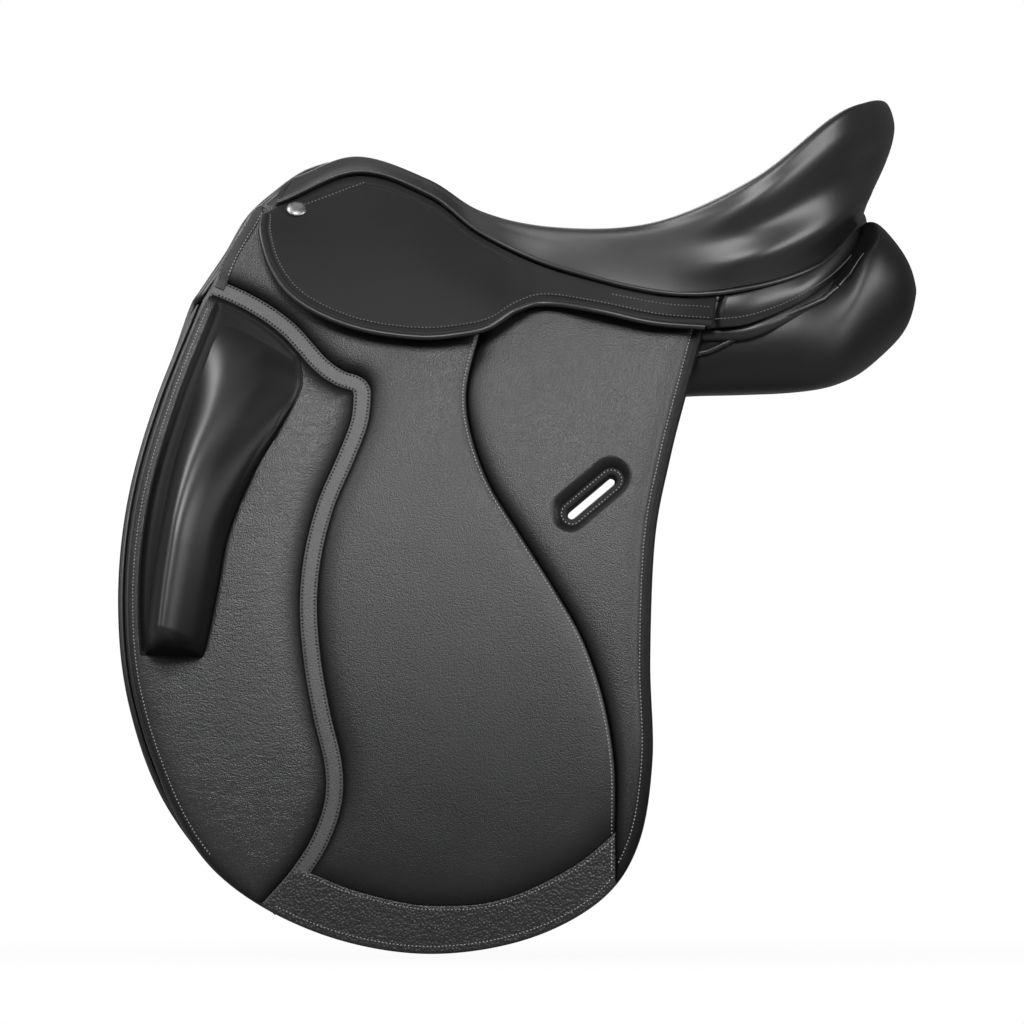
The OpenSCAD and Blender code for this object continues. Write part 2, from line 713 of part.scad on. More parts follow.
// Points of the tree beside the head plate, which carry the stirrup bars and the flaps
point_x0 = crest_x - 32;
point_x1 = crest_x + 20;
point_z0 = 48;
point_z1 = 102;
bar_z = 70;
foot_x = crest_x - 6;
rivet_x = [foot_x - 12, foot_x + 12];
screw_x = [crest_x - 20, crest_x + 8];
screw_z = 95;
module point_rivets_at(r, y0, y1) {
  for (x = rivet_x)
    at_leaf(x, bar_z, 0)
      stud(r, y0, y1);
}
module screws_at(r, y0, y1) {
  for (x = screw_x)
    at_leaf(x, screw_z, 0)
      stud(r, y0, y1);
}
module point() {
  color("burlywood")
    difference() {
      leaf([[point_x0, point_z0 + 8], [point_x0 + 8, point_z0], [point_x1 - 8, point_z0],
        [point_x1, point_z0 + 8], [point_x1, point_z1], [point_x0, point_z1]], l_point0, l_point1);
      point_rivets_at(rivet_d / 2 + pin_gap, -40, 10);
      screws_at(screw_d / 2 + pin_gap, l_point0 / 2, 10);
    }
}
module left_point() {
  left()
    point();
}
module right_point() {
  point();
}
// Stirrup bar: a foot on the point and a bar that runs back from it
foot_t = 3.5;
bar_y = foot_t + bar_d / 2 + 2;
tongue = 3;
module stirrup_bar() {
  color("silver")
    at_leaf(foot_x, bar_z, 0)
      difference() {
        union() {
          translate([-20, gap, -9])
            cube([40, foot_t, 18]);
          translate([-4.5, gap, -6])
            cube([9, bar_y + bar_d / 2 - gap, 12]);
          translate([0, bar_y, 0])
            rotate([0, 90, 0])
              cylinder(d = bar_d, h = bar_len - 5);
          translate([bar_len - 9, bar_y - tongue / 2, -3.2])
            cube([9, tongue, 6.4]);
          translate([bar_len, bar_y, 0])
            stud(3.2, -tongue / 2, tongue / 2);
        }
        translate([bar_len, bar_y, 0])
          stud(pin_d / 2 + pin_gap, -10, 10);
        for (x = [-12, 12])
          translate([x, 0, 0])
            stud(rivet_d / 2 + pin_gap, -5, 6);
        for (x = [-12, 12])
          translate([x, foot_t + gap, 0])
            stud(rivet_d + 0.4, 0, 2.2);
      }
}
module left_stirrup_bar() {
  left()
    stirrup_bar();
}
module right_stirrup_bar() {
  stirrup_bar();
}
// Thumb catch on the end of the bar
cheek = 1.8;
module bar_catch() {
  color("silver")
    at_leaf(foot_x, bar_z, 0)
      translate([bar_len, bar_y, 0])
        difference() {
          union() {
            for (s = [-1, 1])
              translate([0, s * (tongue / 2 + gap + cheek / 2), 0]) {
                stud(4, -cheek / 2, cheek / 2);
                translate([0, -cheek / 2, -4])
                  cube([catch_len - 4, cheek, 8]);
              }
            translate([5.2, -tongue / 2 - gap - cheek, -4])
              cube([catch_len - 5.2, tongue + 2 * gap + 2 * cheek, 8]);
          }
          stud(pin_d / 2 + pin_gap, -10, 10);
        }
}
module left_bar_catch() {
  left()
    bar_catch();
}
module right_bar_catch() {
  bar_catch();
}
module catch_pin() {
  h = tongue / 2 + gap + cheek;
  color("gray")
    at_leaf(foot_x, bar_z, 0)
      translate([bar_len, bar_y, 0])
        stud(pin_d / 2, -h, h);
}
module left_catch_pin() {
  left()
    catch_pin();
}
module right_catch_pin() {
  catch_pin();
}
module rivet_set() {
  point_rivets_at(rivet_d / 2, l_plate1 - plate_t - 1, foot_t + gap);
  for (x = [-12, 12])
    at_leaf(foot_x, bar_z, 0)
      translate([x, foot_t + 2 * gap, 0])
        stud(rivet_d, -gap, 1.6);
}
module bar_rivets() {
  color("gray") {
    rivet_set();
    left()
      rivet_set();
  }
}
module screw_set() {
  screws_at(screw_d / 2, l_point0 / 2 + 0.5, l_over1 + 1);
  for (x = screw_x)
    at_leaf(x, screw_z, 0)
      stud(screw_d, l_over1 + gap, l_over1 + 2);
}
module flap_screws() {
  color("gray") {
    screw_set();
    left()
      screw_set();
  }
}

// Flap: the leaf below the fold with the panels sewn on it, and the part above the fold
x_in = crest_x - 327;
x_out = cantle_x + 14;
function below(d) = [[x_in, -520], [x_out, -520], [x_out, fold_z(x_out, d)], [x_in, fold_z(x_in, d)]];
bar_window = [
  [foot_x - 23, bar_z - 14], [foot_x + bar_len + catch_len + 3, bar_z - 14],
  [foot_x + bar_len + catch_len + 3, bar_z + 26], [foot_x - 23, bar_z + 15]
];
module flap_top() {
  top_line = curve([
    grade([-236, 80]), [crest_x - 92, hp - 71], [crest_x - 78, hp - 52], [crest_x - 58, hp - 56],
    [crest_x - 17, hp - 61], [0.7 * crest_x, hp - 78], [0.3 * crest_x, hl - 43], [0, hl - 45],
    [0.24 * cantle_x, hl - 40], [0.44 * cantle_x, hl - 54]
  ], 36);
  rear = [for (q = flap_line) if (q[0] > 0 && q[1] > fold_z(q[0], 0)) q];
  color("dimgray")
    difference() {
      leaf(concat(
        [[fold_a[0] + 0.5, fold_z(fold_a[0] + 0.5, fold_gap / 2)]],
        top_line,
        back(rear),
        [[rear[0][0] - 1, fold_z(rear[0][0] - 1, fold_gap / 2)]]
      ), 0, l_over1);
      prism(bar_window);
      screws_at(screw_d / 2 + pin_gap, -1, 20);
    }
}
module left_flap_top() {
  left()
    flap_top();
}
module right_flap_top() {
  flap_top();
}
slot_at = grade([37.5, -71.5]);
function slot_ring(w) = [for (k = [0 : 31])
  let (a = 11.25 * k)
  let (e = (k < 8 || k >= 24 ? 1 : -1) * (slot_len - slot_w) / 2)
  let (q = [e + w / 2 * cos(a), w / 2 * sin(a)])
  slot_at + [q[0] * cos(slot_angle) - q[1] * sin(slot_angle), q[0] * sin(slot_angle) + q[1] * cos(slot_angle)]];
module slot_cut() {
  prism(slot_ring(slot_w));
}
module flap() {
  color("dimgray")
    difference() {
      leaf(flap_line, 0, flap_t);
      prism([[x_in, fold_z(x_in, -fold_gap / 2)], [x_out, fold_z(x_out, -fold_gap / 2)], [x_out, 300], [x_in, 300]]);
      slot_cut();
    }
}
module left_flap() {
  left()
    flap();
}
module right_flap() {
  flap();
}
module slot_patch() {
  color("black")
    difference() {
      leaf(slot_ring(slot_w + 2 * patch_rim), -gap - 2, -gap);
      slot_cut();
    }
}
module left_slot_patch() {
  left()
    slot_patch();
}
module right_slot_patch() {
  slot_patch();
}
// Overlays: regions of the flap between the seams
module over(p, d1) {
  intersection() {
    slab(l_over0, d1);
    difference() {
      prism(flap_line);
      prism([[x_in, fold_z(x_in, -fold_gap / 2)], [x_out, fold_z(x_out, -fold_gap / 2)], [x_out, 300], [x_in, 300]]);
    }
    prism(p);
  }
}
seam_in = beside(seam, -strip_w / 2);
seam_out = beside(seam, strip_w / 2);
module knee_panel() {
  color("dimgray")
    over(concat([[x_in, 120]], [[seam_in[0][0], 120]], beside(seam, -strip_w / 2 - gap), [[x_in, -480]]), l_over1);
}
module left_knee_panel() {
  left()
    knee_panel();
}
module right_knee_panel() {
  knee_panel();
}
module seam_strip() {
  color("black")
    over(concat(seam_in, back(seam_out)), l_strip1);
}
module left_seam_strip() {
  left()
    seam_strip();
}
module right_seam_strip() {
  seam_strip();
}
module main_panel() {
  color("dimgray")
    difference() {
      over(concat(beside(seam, strip_w / 2 + gap), [[0, -470]], back(beside(s_line, -gap / 2)), [[-60, 110]]), l_over1);
      prism(concat([[x_in, -480]], beside(band_line, gap / 2), [[x_out, -480]]));
    }
}
module left_main_panel() {
  left()
    main_panel();
}
module right_main_panel() {
  main_panel();
}
module bottom_band() {
  color("black")
    intersection() {
      over(concat(beside(seam, strip_w / 2 + gap), [[0, -470]], back(beside(s_line, -gap / 2)), [[-60, 110]]), l_over1 + 0.4);
      prism(concat([[x_in, -480]], beside(band_line, -gap / 2), [[x_out, -480]]));
    }
}
module left_bottom_band() {
  left()
    bottom_band();
}
module right_bottom_band() {
  bottom_band();
}
module rear_panel() {
  color("dimgray")
    difference() {
      over(concat(beside(s_line, gap / 2), [[s_line[len(s_line) - 1][0], -480], [x_out, -480], [x_out, 110]]), l_over1);
      slot_cut();
    }
}
module left_rear_panel() {
  left()
    rear_panel();
}
module right_rear_panel() {
  rear_panel();
}
// Knee block: a padded ridge on the knee panel, steep towards the rider's leg
block_front = graded([[-284, -184], [-282, -160], [-279, -130], [-273, -92], [-264, -48], [-252, -8], [-240, 30], [-231, 50]]);
block_s = block_len / 250;
function block_pt(t, s, d) =
  let (f0 = at(block_front, (1 - t) * 0 + t * 7))
  let (f = lerp(block_front[7], f0, block_s))
  let (w = block_w * lerp(0.94, 1.3, ease((t - 0.35) / 0.5)))
  let (q = f + [s * w, -s * lerp(2, 24, ease((t - 0.45) / 0.5))])
  on_leaf(q, d);
function block_rise(t, s) =
  let (c = sin(180 * pow(s, 0.72)))
  1.6 + (block_h - 1.6) * pow(max(c, 0), 0.62) * lerp(0.8, 1, ease(t / 0.12)) * lerp(1, 0.22, ease((t - 0.5) / 0.5));
module knee_block() {
  n = 20;
  m = 10;
  color("black")
    skin([for (i = [0 : n]) [for (j = [0 : m]) block_pt(i / n, j / m, l_over1 + gap)]],
      [for (i = [0 : n]) [for (j = [0 : m]) block_pt(i / n, j / m, l_over1 + gap + block_rise(i / n, j / m))]]);
}
module left_knee_block() {
  left()
    knee_block();
}
module right_knee_block() {
  knee_block();
}

// Sweat flap: the inner leaf under the straps, sewn to the panel
module sweat_flap() {
  front = [for (i = [0 : 27]) if (outline[i][1] < 68) outline[i]];
  inner = curve(graded([[-176, -366], [-130, -352], [-70, -300], [-30, -210], [-10, -100], [0, -10]]), 18);
  color("dimgray")
    leaf(concat([[point_x0 - 12, 44], [front[0][0] + 16, front[0][1]]], front, inner, [[grade([0, -10])[0], 44]]),
      l_sweat0, l_sweat1);
}
module left_sweat_flap() {
  left()
    sweat_flap();
}
module right_sweat_flap() {
  sweat_flap();
}

// Panels: stuffed cushions. Each station: x, inner edge from the gullet, half width, height, half height, slope
panel_st = [
  [crest_x - 101, 30, 5, 62, 12, 1.5],
  [crest_x - 87, 14, 15, 71, 27, 1.4],
  [crest_x - 57, 2, 24, 70, 29, 1.3],
  [crest_x - 7, 0, 24.5, 58, 25, 1.2],
  [0.31 * crest_x, 3, (barrel(0.31 * crest_x, 4, l_sweat0) - 5.2 - gullet_w / 2 - 3) / 2, 45, 26, 0.95],
  [0.244 * cantle_x, 8, 46, 33, 23, 0.56],
  [0.53 * cantle_x, 12, 54, 33, 25, 0.4],
  [0.732 * cantle_x, 10, 56, 38, 27, 0.32],
  [0.874 * cantle_x, 8, 50, 51, 36, 0.2],
  [0.922 * cantle_x, 6, 45, 59, 38.5, 0.15],
  [0.952 * cantle_x, 6, 41, 71, 46, 0.12],
  [0.980 * cantle_x, 8, 37, 79, 48.5, 0.1],
  [1.05 * cantle_x, 14, 26, 79, 33, 0],
  [1.088 * cantle_x, 32, 7, 79, 9, 0]
];
panel_m = 22;
function panel_ring(s) =
  let (q = at(panel_st, s))
  let (yc = gullet_w / 2 + q[1] + q[2])
  [for (k = [0 : panel_m - 1])
    let (a = 360 * k / panel_m)
    let (c = sign(cos(a)) * pow(abs(cos(a)), 0.85))
    let (e = sign(sin(a)) * pow(abs(sin(a)), 0.85))
    [q[0], yc + q[2] * c, q[3] + panel_fill * q[4] * e - q[5] * q[2] * c]];
module panel() {
  n = 40;
  color("dimgray")
    sweep([for (i = [0 : n]) panel_ring((len(panel_st) - 1) * i / n)]);
}
module left_panel() {
  left()
    panel();
}
module right_panel() {
  panel();
}
// Lining: the leather roof of the channel between the panels
module gullet_lining() {
  n = 26;
  function row(u, d) =
    let (c = seat(u, 1, d, 1))
    [for (y = [1, 0.5, 0, -0.5, -1]) c + [0, y * (gullet_w / 2 - 2), 0]];
  us = [for (i = [0 : n]) lerp(1.2, 8.2, i / n)];
  color("black")
    skin([for (u = us) row(u, d_spring + spring_t + gap)], [for (u = us) row(u, d_spring + spring_t + gap + lining_t)]);
}

// Girth straps: each hangs on a rivet at the end of its web
module strap_hole(k, l) {
  at_leaf(strap_x[k], strap_z, l_web0)
    stud(rivet_d / 2 + pin_gap, -l, l);
}
module strap(k) {
  x = strap_x[k];
  z0 = strap_z - strap_len;
  color("saddlebrown")
    difference() {
      leaf([
        [x - strap_w / 2, strap_z + 14], [x - strap_w / 2, z0 + 20], [x - strap_w / 4, z0 + 5], [x, z0],
        [x + strap_w / 4, z0 + 5], [x + strap_w / 2, z0 + 20], [x + strap_w / 2, strap_z + 14]
      ], l_strap0, l_strap1);
      strap_hole(k, 12);
      for (i = [0 : hole_count - 1])
        at_leaf(x, z0 + 40 + i * hole_pitch, l_strap0)
          stud(hole_d / 2, -3, strap_t + 3);
    }
}
module left_front_strap() {
  left()
    strap(0);
}
module left_rear_strap() {
  left()
    strap(1);
}
module right_front_strap() {
  strap(0);
}
module right_rear_strap() {
  strap(1);
}
module strap_rivet_set() {
  for (k = [0, 1])
    at_leaf(strap_x[k], strap_z, l_web0) {
      stud(rivet_d / 2, -strap_t - gap - 0.2, web_t);
      stud(rivet_d, -strap_t - 2 * gap - 0.6, -strap_t - 2 * gap);
    }
}
module strap_rivets() {
  color("peru") {
    strap_rivet_set();
    left()
      strap_rivet_set();
  }
}

tree();
head_plate();
left_spring();
right_spring();
seat_web();
front_girth_web();
rear_girth_web();
seat_foam();
seat_cover();
left_welt();
right_welt();
left_skirt();
right_skirt();
cantle_facing();
pommel_roll();
front_facing();
left_head_nail();
right_head_nail();
left_point();
right_point();
left_stirrup_bar();
right_stirrup_bar();
left_catch_pin();
right_catch_pin();
bar_rivets();
flap_screws();
left_flap_top();
right_flap_top();
left_sweat_flap();
right_sweat_flap();
left_panel();
right_panel();
gullet_lining();
strap_rivets();
left_flap();
left_knee_panel();
left_main_panel();
left_rear_panel();
left_seam_strip();
left_bottom_band();
left_knee_block();
left_slot_patch();
right_flap();
right_knee_panel();
right_main_panel();
right_rear_panel();
right_seam_strip();
right_bottom_band();
right_knee_block();
right_slot_patch();
left_skirt_lobe();
right_skirt_lobe();
left_bar_catch();
right_bar_catch();
left_front_strap();
left_rear_strap();
right_front_strap();
right_rear_strap();
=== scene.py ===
"""Dressage saddle: leather, padding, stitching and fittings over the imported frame."""

import math

import bmesh
import bpy
import numpy as np
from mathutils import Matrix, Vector, geometry


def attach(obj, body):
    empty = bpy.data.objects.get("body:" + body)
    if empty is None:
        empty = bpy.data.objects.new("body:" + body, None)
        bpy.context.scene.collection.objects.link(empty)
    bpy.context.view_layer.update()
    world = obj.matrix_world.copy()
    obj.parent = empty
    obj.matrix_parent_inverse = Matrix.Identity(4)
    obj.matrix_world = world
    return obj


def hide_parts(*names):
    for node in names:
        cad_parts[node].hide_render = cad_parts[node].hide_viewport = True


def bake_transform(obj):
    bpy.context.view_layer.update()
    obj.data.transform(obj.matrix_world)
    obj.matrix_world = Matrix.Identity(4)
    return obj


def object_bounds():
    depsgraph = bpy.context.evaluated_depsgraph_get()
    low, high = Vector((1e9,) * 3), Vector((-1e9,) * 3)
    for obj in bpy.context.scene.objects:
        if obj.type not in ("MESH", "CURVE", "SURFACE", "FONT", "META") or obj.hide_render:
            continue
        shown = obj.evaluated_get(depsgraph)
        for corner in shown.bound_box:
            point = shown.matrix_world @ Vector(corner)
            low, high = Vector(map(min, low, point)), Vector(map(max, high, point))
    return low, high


bl_info = {
    "name": "Dressage saddle",
    "version": (1, 0, 0),
    "blender": (4, 5, 0),
    "location": "View3D > Sidebar > Saddle",
    "description": "Builds the leather, padding, stitching and finishes of a dressage saddle",
    "category": "Object",
}

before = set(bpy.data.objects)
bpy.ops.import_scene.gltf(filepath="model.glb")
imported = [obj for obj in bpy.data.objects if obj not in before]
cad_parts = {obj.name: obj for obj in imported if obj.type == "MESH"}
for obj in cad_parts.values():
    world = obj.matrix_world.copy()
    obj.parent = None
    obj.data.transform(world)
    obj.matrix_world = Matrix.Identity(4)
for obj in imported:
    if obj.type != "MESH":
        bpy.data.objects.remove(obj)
CAD_BOX = [list(v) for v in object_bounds()]

# Sizes shared with the frame, in millimetres and radians
CREST_X, HEAD_Z, LOW_Z, CANTLE_Z = -133.0, 175.0, 123.0, 216.0  # crest, heights of head, hollow, cantle
HEAD_HALF, TWIST_HALF, SEAT_HALF = 50.0, 84.0, 146.0  # half widths of the seat
GAP, COVER, FOAM, DISH_DEPTH = 0.3, 3.0, 18.0, 9.0  # room between pieces, seat leather, foam, dish
SKIRT, SKIRT_OFF, WELT_D, ROLL_D = 4.0, 23.0, 4.0, 9.0  # skirt leather and its place, welt, roll of the arch
TOE, BARREL_R, BARREL_Z, SPREAD = math.radians(5.7), 1100.0, -420.0, 142.0  # barrel that the flaps lie on
FLAP_T, OVER_0, OVER_1, SWEAT_0, SWEAT_1 = 3.0, 3.3, 5.3, -12.5, -8.5  # layers, from the leaf's inner face
GULLET = 60.0  # width of the channel
SEAT_SIZE, NAIL_AHEAD, NAIL_DROP = 432.0, 45.0, 39.0  # head nail to cantle, the nail from the crest
CANTLE_X = CREST_X - NAIL_AHEAD + math.sqrt(SEAT_SIZE**2 - (CANTLE_Z - HEAD_Z + NAIL_DROP) ** 2)
BARREL_Y = SPREAD - math.sqrt(BARREL_R**2 - BARREL_Z**2)
SIDES = (("left", -1.0), ("right", 1.0))
FLIP = np.array([1.0, -1.0, 1.0])


# Lines and surfaces


def unit(v):
    """Vectors of length one."""
    return v / np.maximum(np.linalg.norm(v, axis=-1, keepdims=True), 1e-12)


def ease(t):
    """Smooth step from 0 to 1."""
    t = np.clip(t, 0, 1)
    return t * t * (3 - 2 * t)


def mix(a, b, t):
    """Straight blend from a to b."""
    return a + (b - a) * t


def cubic(a, b, c, d, t):
    """Catmull-Rom cubic from b to c."""
    return 0.5 * (2 * b + (c - a) * t + (2 * a - 5 * b + 4 * c - d) * t**2 + (3 * b - a - 3 * c + d) * t**3)


def spline(points, s, mirrored_end=False):
    """Smooth line through the points, s counted in points; with mirrored_end it runs on into its mirror."""
    p = np.asarray(points, float)
    p = p[:, None] if p.ndim == 1 else p
    s = np.asarray(s, float)
    last = p[-2] * FLIP if mirrored_end else 2 * p[-1] - p[-2]
    q = np.vstack([2 * p[0] - p[1], p, last])
    i = np.clip(np.floor(s).astype(int), 0, len(p) - 2)
    return cubic(q[i], q[i + 1], q[i + 2], q[i + 3], (s - i)[..., None])


def curve(points, count):
    """Points at even steps of the spline's own parameter."""
    return spline(points, np.linspace(0, len(points) - 1, count + 1))


def lengths(line):
    """Length along a line up to each of its points."""
    return np.concatenate([[0], np.cumsum(np.linalg.norm(np.diff(line, axis=0), axis=1))])


def stations(line, at):
    """Points of a line at the given lengths along it."""
    run = lengths(line)
    return np.stack([np.interp(at, run, line[:, k]) for k in range(line.shape[1])], -1)


def even(line, step):
    """The line with points about one step apart."""
    total = lengths(line)[-1]
    return stations(line, np.linspace(0, total, max(2, int(round(total / step)) + 1)))


def beside(line, d):
    """Plane line moved to its left by d."""
    t = unit(np.gradient(line, axis=0))
    return line + d * np.stack([-t[:, 1], t[:, 0]], -1)


def meet(a, b):
    """Where two plane lines cross first: place on a, place on b, in points."""
    p, r = a[:-1, None], (a[1:] - a[:-1])[:, None]
    q, s = b[None, :-1], (b[1:] - b[:-1])[None]
    turn = r[..., 0] * s[..., 1] - r[..., 1] * s[..., 0]
    turn = np.where(np.abs(turn) < 1e-12, 1e-12, turn)
    w = q - p
    t = (w[..., 0] * s[..., 1] - w[..., 1] * s[..., 0]) / turn
    u = (w[..., 0] * r[..., 1] - w[..., 1] * r[..., 0]) / turn
    i, j = np.nonzero((t >= 0) & (t <= 1) & (u >= 0) & (u <= 1))
    if len(i) == 0:
        raise ValueError("two pattern lines don't cross")
    return i[0] + t[i[0], j[0]], j[0] + u[i[0], j[0]]


def span(line, a, b):
    """Part of a line between two places, in points, turned round if a is after b."""
    lo, hi = min(a, b), max(a, b)
    inner = np.arange(math.ceil(lo + 1e-6), math.floor(hi - 1e-6) + 1)
    at = np.concatenate([[lo], inner, [hi]])
    part = np.stack([np.interp(at, np.arange(len(line)), line[:, k]) for k in range(line.shape[1])], -1)
    return part if a <= b else part[::-1]


def ringed(ring):
    """Ring with its first point again at its end."""
    return np.vstack([ring, ring[:1]])


def off_line(q, line):
    """Distance of plane points q from a line."""
    a, d = line[:-1], np.diff(line, axis=0)
    size = np.maximum((d**2).sum(1), 1e-12)
    best = np.full(len(q), np.inf)
    for part in np.array_split(np.arange(len(q)), max(1, len(q) * len(a) // 2_000_000)):
        w = q[part, None] - a
        t = np.clip((w * d).sum(-1) / size, 0, 1)
        best[part] = np.sqrt(((w - t[..., None] * d) ** 2).sum(-1).min(1))
    return best


def inside(q, ring):
    """Which plane points lie in a closed ring, by counting crossings."""
    a, b = ring, np.roll(ring, -1, 0)
    out = np.zeros(len(q), bool)
    for part in np.array_split(np.arange(len(q)), max(1, len(q) * len(a) // 4_000_000)):
        x, z = q[part, 0, None], q[part, 1, None]
        cross = (a[:, 1] > z) != (b[:, 1] > z)
        rise = np.where(b[:, 1] == a[:, 1], 1e-9, b[:, 1] - a[:, 1])
        edge = a[:, 0] + (z - a[:, 1]) * (b[:, 0] - a[:, 0]) / rise
        out[part] = (cross & (x < edge)).sum(1) % 2 == 1
    return out


def bow(z, d):
    """Half width of the barrel at height z, d outwards."""
    return BARREL_Y + np.sqrt((BARREL_R + d) ** 2 - (z - BARREL_Z) ** 2)


def barrel(x, z, d):
    """Y of the leaf at pattern point (x, z), d outwards from its inner face."""
    return (bow(z, d) + x * math.sin(TOE)) / math.cos(TOE)


def leaf(q, d=0.0):
    """Pattern points laid on the barrel, d outwards."""
    q = np.asarray(q, float)
    return np.stack([q[..., 0], barrel(q[..., 0], q[..., 1], d), q[..., 1]], -1)


def leaf_out(q):
    """Outward direction of the leaf at pattern points."""
    a = np.arcsin((np.asarray(q)[..., 1] - BARREL_Z) / BARREL_R)
    return np.stack([-math.sin(TOE) * np.cos(a), math.cos(TOE) * np.cos(a), np.sin(a)], -1)


def lay(q, d):
    """Pattern points on the leaf's inner face, moved d along its outward direction."""
    return leaf(q) + leaf_out(q) * np.asarray(d)[..., None]


# Seat lines, from the front corner to the middle of the cantle

WELT = np.array([
    [CREST_X - 58, HEAD_HALF + 12, HEAD_Z - 34],
    [CREST_X, HEAD_HALF, HEAD_Z - 9.5],
    [0.60 * CREST_X, mix(HEAD_HALF, TWIST_HALF, 0.38), mix(HEAD_Z, LOW_Z, 0.50)],
    [0.31 * CREST_X, TWIST_HALF, LOW_Z - 3],
    [0.057 * CANTLE_X, mix(TWIST_HALF, SEAT_HALF, 0.58), LOW_Z - 27],
    [0.374 * CANTLE_X, SEAT_HALF - 1, LOW_Z - 44.5],
    [0.622 * CANTLE_X, SEAT_HALF, LOW_Z - 39.5],
    [0.821 * CANTLE_X, 0.79 * SEAT_HALF, LOW_Z - 23],
    [0.927 * CANTLE_X, 0.45 * SEAT_HALF, mix(LOW_Z, CANTLE_Z, 0.03)],
    [0.954 * CANTLE_X, 0, mix(LOW_Z, CANTLE_Z, 0.16)],
])
RIM = np.array([
    [CREST_X - 42, 0.58 * WELT[0, 1], HEAD_Z - 15],
    [CREST_X, 0.50 * WELT[1, 1], HEAD_Z - 1.2],
    [0.61 * CREST_X, 0.54 * WELT[2, 1], mix(HEAD_Z, LOW_Z, 0.365)],
    [0.32 * CREST_X, 0.62 * WELT[3, 1], LOW_Z + 9.5],
    [0.040 * CANTLE_X, 0.69 * WELT[4, 1], LOW_Z - 0.5],
    [0.333 * CANTLE_X, 0.78 * WELT[5, 1], LOW_Z + 5],
    [0.618 * CANTLE_X, 0.88 * WELT[6, 1], mix(LOW_Z, CANTLE_Z, 0.385)],
    [0.841 * CANTLE_X, 0.92 * WELT[7, 1], mix(LOW_Z, CANTLE_Z, 0.845)],
    [0.945 * CANTLE_X, 0.95 * WELT[8, 1], CANTLE_Z - 2],
    [0.977 * CANTLE_X, 0, CANTLE_Z],
])
SPINE = np.array([
    [CREST_X - 18, 0, HEAD_Z - 4.5],
    [CREST_X, 0, HEAD_Z],
    [0.64 * CREST_X, 0, mix(HEAD_Z, LOW_Z, 0.345)],
    [0.34 * CREST_X, 0, LOW_Z + 11],
    [0, 0, LOW_Z - 1.5],
    [0.244 * CANTLE_X, 0, LOW_Z - 11],
    [0.467 * CANTLE_X, 0, LOW_Z - 8],
    [0.610 * CANTLE_X, 0, LOW_Z - 1],
    [0.699 * CANTLE_X, 0, LOW_Z + 9],
    [0.732 * CANTLE_X, 0, LOW_Z + 17],
])
# At the same stations: radius of the rim, swell of the side, share of the dish and of the foam
RIM_R = [4, 5, 6, 8, 10, 12, 13, 13, 13.5, 14]
SWELL = [1.5, 2, 3, 5, 7, 9, 9, 9, 10, 10]
DISH = [0, 0, 0, 0, 0.5, 0.7, 1, 1, 1, 0.9]
FILL = [0.45, 0.45, 0.6, 0.85, 1, 1, 1, 1, 1, 1]
# Spring steels: depth of their top under the seat, without the foam, and thickness
SPRING_DEPTH, SPRING_T = 24.3, 2.5


def seat_lines(u):
    """Seam, rim and middle of the seat at station u, with its directions out, up the side and in."""
    w, r, c = (spline(line, u, True) for line in (WELT, RIM, SPINE))
    o = w - c
    o[..., 2] = 0
    o = unit(np.where(np.linalg.norm(o, axis=-1, keepdims=True) < 1e-6, [1.0, 0, 0], o))
    t = unit(r - w)
    n = np.stack([-o[..., 0] * t[..., 2], -o[..., 1] * t[..., 2], (t * o).sum(-1)], -1)
    return w, r, c, o, t, n


def seat(u, v, depth=0.0, foam=0.0):
    """Seat: at each station u a line from the seam (v 0) over the rim to the middle (v 1), sunk by depth."""
    w, r, c, o, t, n = seat_lines(u)
    k, swell, dish = spline(RIM_R, u), spline(SWELL, u), spline(DISH, u)
    m = foam * FOAM * spline(FILL, u)
    down = np.array([0, 0, -1.0])
    p0 = w + n * (depth + 0.2 * m)
    p1 = mix(w, r, 0.45) + n * (depth + 0.3 * m - swell)
    p2 = r - t * k - n * 0.95 * k + unit(n + 0.8 * down) * (depth + 0.6 * m)
    p3 = r + (down - 0.35 * t[..., 2:] * o) * (depth + m)
    p4 = mix(r, c, 0.5) + down * (depth + m + DISH_DEPTH * dish)
    p5 = c + down * (depth + m)
    p = np.stack([2 * p0 - p1, p0, p1, p2, p3, p4, p5, p4 * FLIP])
    i = np.minimum(np.floor(5 * v), 4).astype(int)
    pick = lambda k: np.take_along_axis(p, (i + k)[None, ..., None], 0)[0]
    return cubic(pick(0), pick(1), pick(2), pick(3), (5 * v - i)[..., None])


# Patterns of the flap, in X and Z

# Places counted along the edge, and how far the flap's front edge lies inside the sweat flap's
EDGE_PLACES, FRONT_INSET = 68.0, 7.0


def front_edge():
    """Outer edge of the sweat flap and, inset at the front, the edge of the flap."""
    rim = even(curve([
        [-249, 72], [-277, 0], [-297, -72], [-304, -144], [-297, -216], [-271, -288],
        [-224, -346], [-160, -382], [-86, -397], [-14, -388], [42, -360], [70, -320],
        [80.5, -259], [79, -187], [82.5, -101], [93.5, -43], [105, 2], [118, 50],
    ], 400), 2.0)
    s = np.linspace(0, EDGE_PLACES, len(rim))
    return rim, beside(rim, FRONT_INSET * (1 - ease((s - 20) / 6))[:, None])


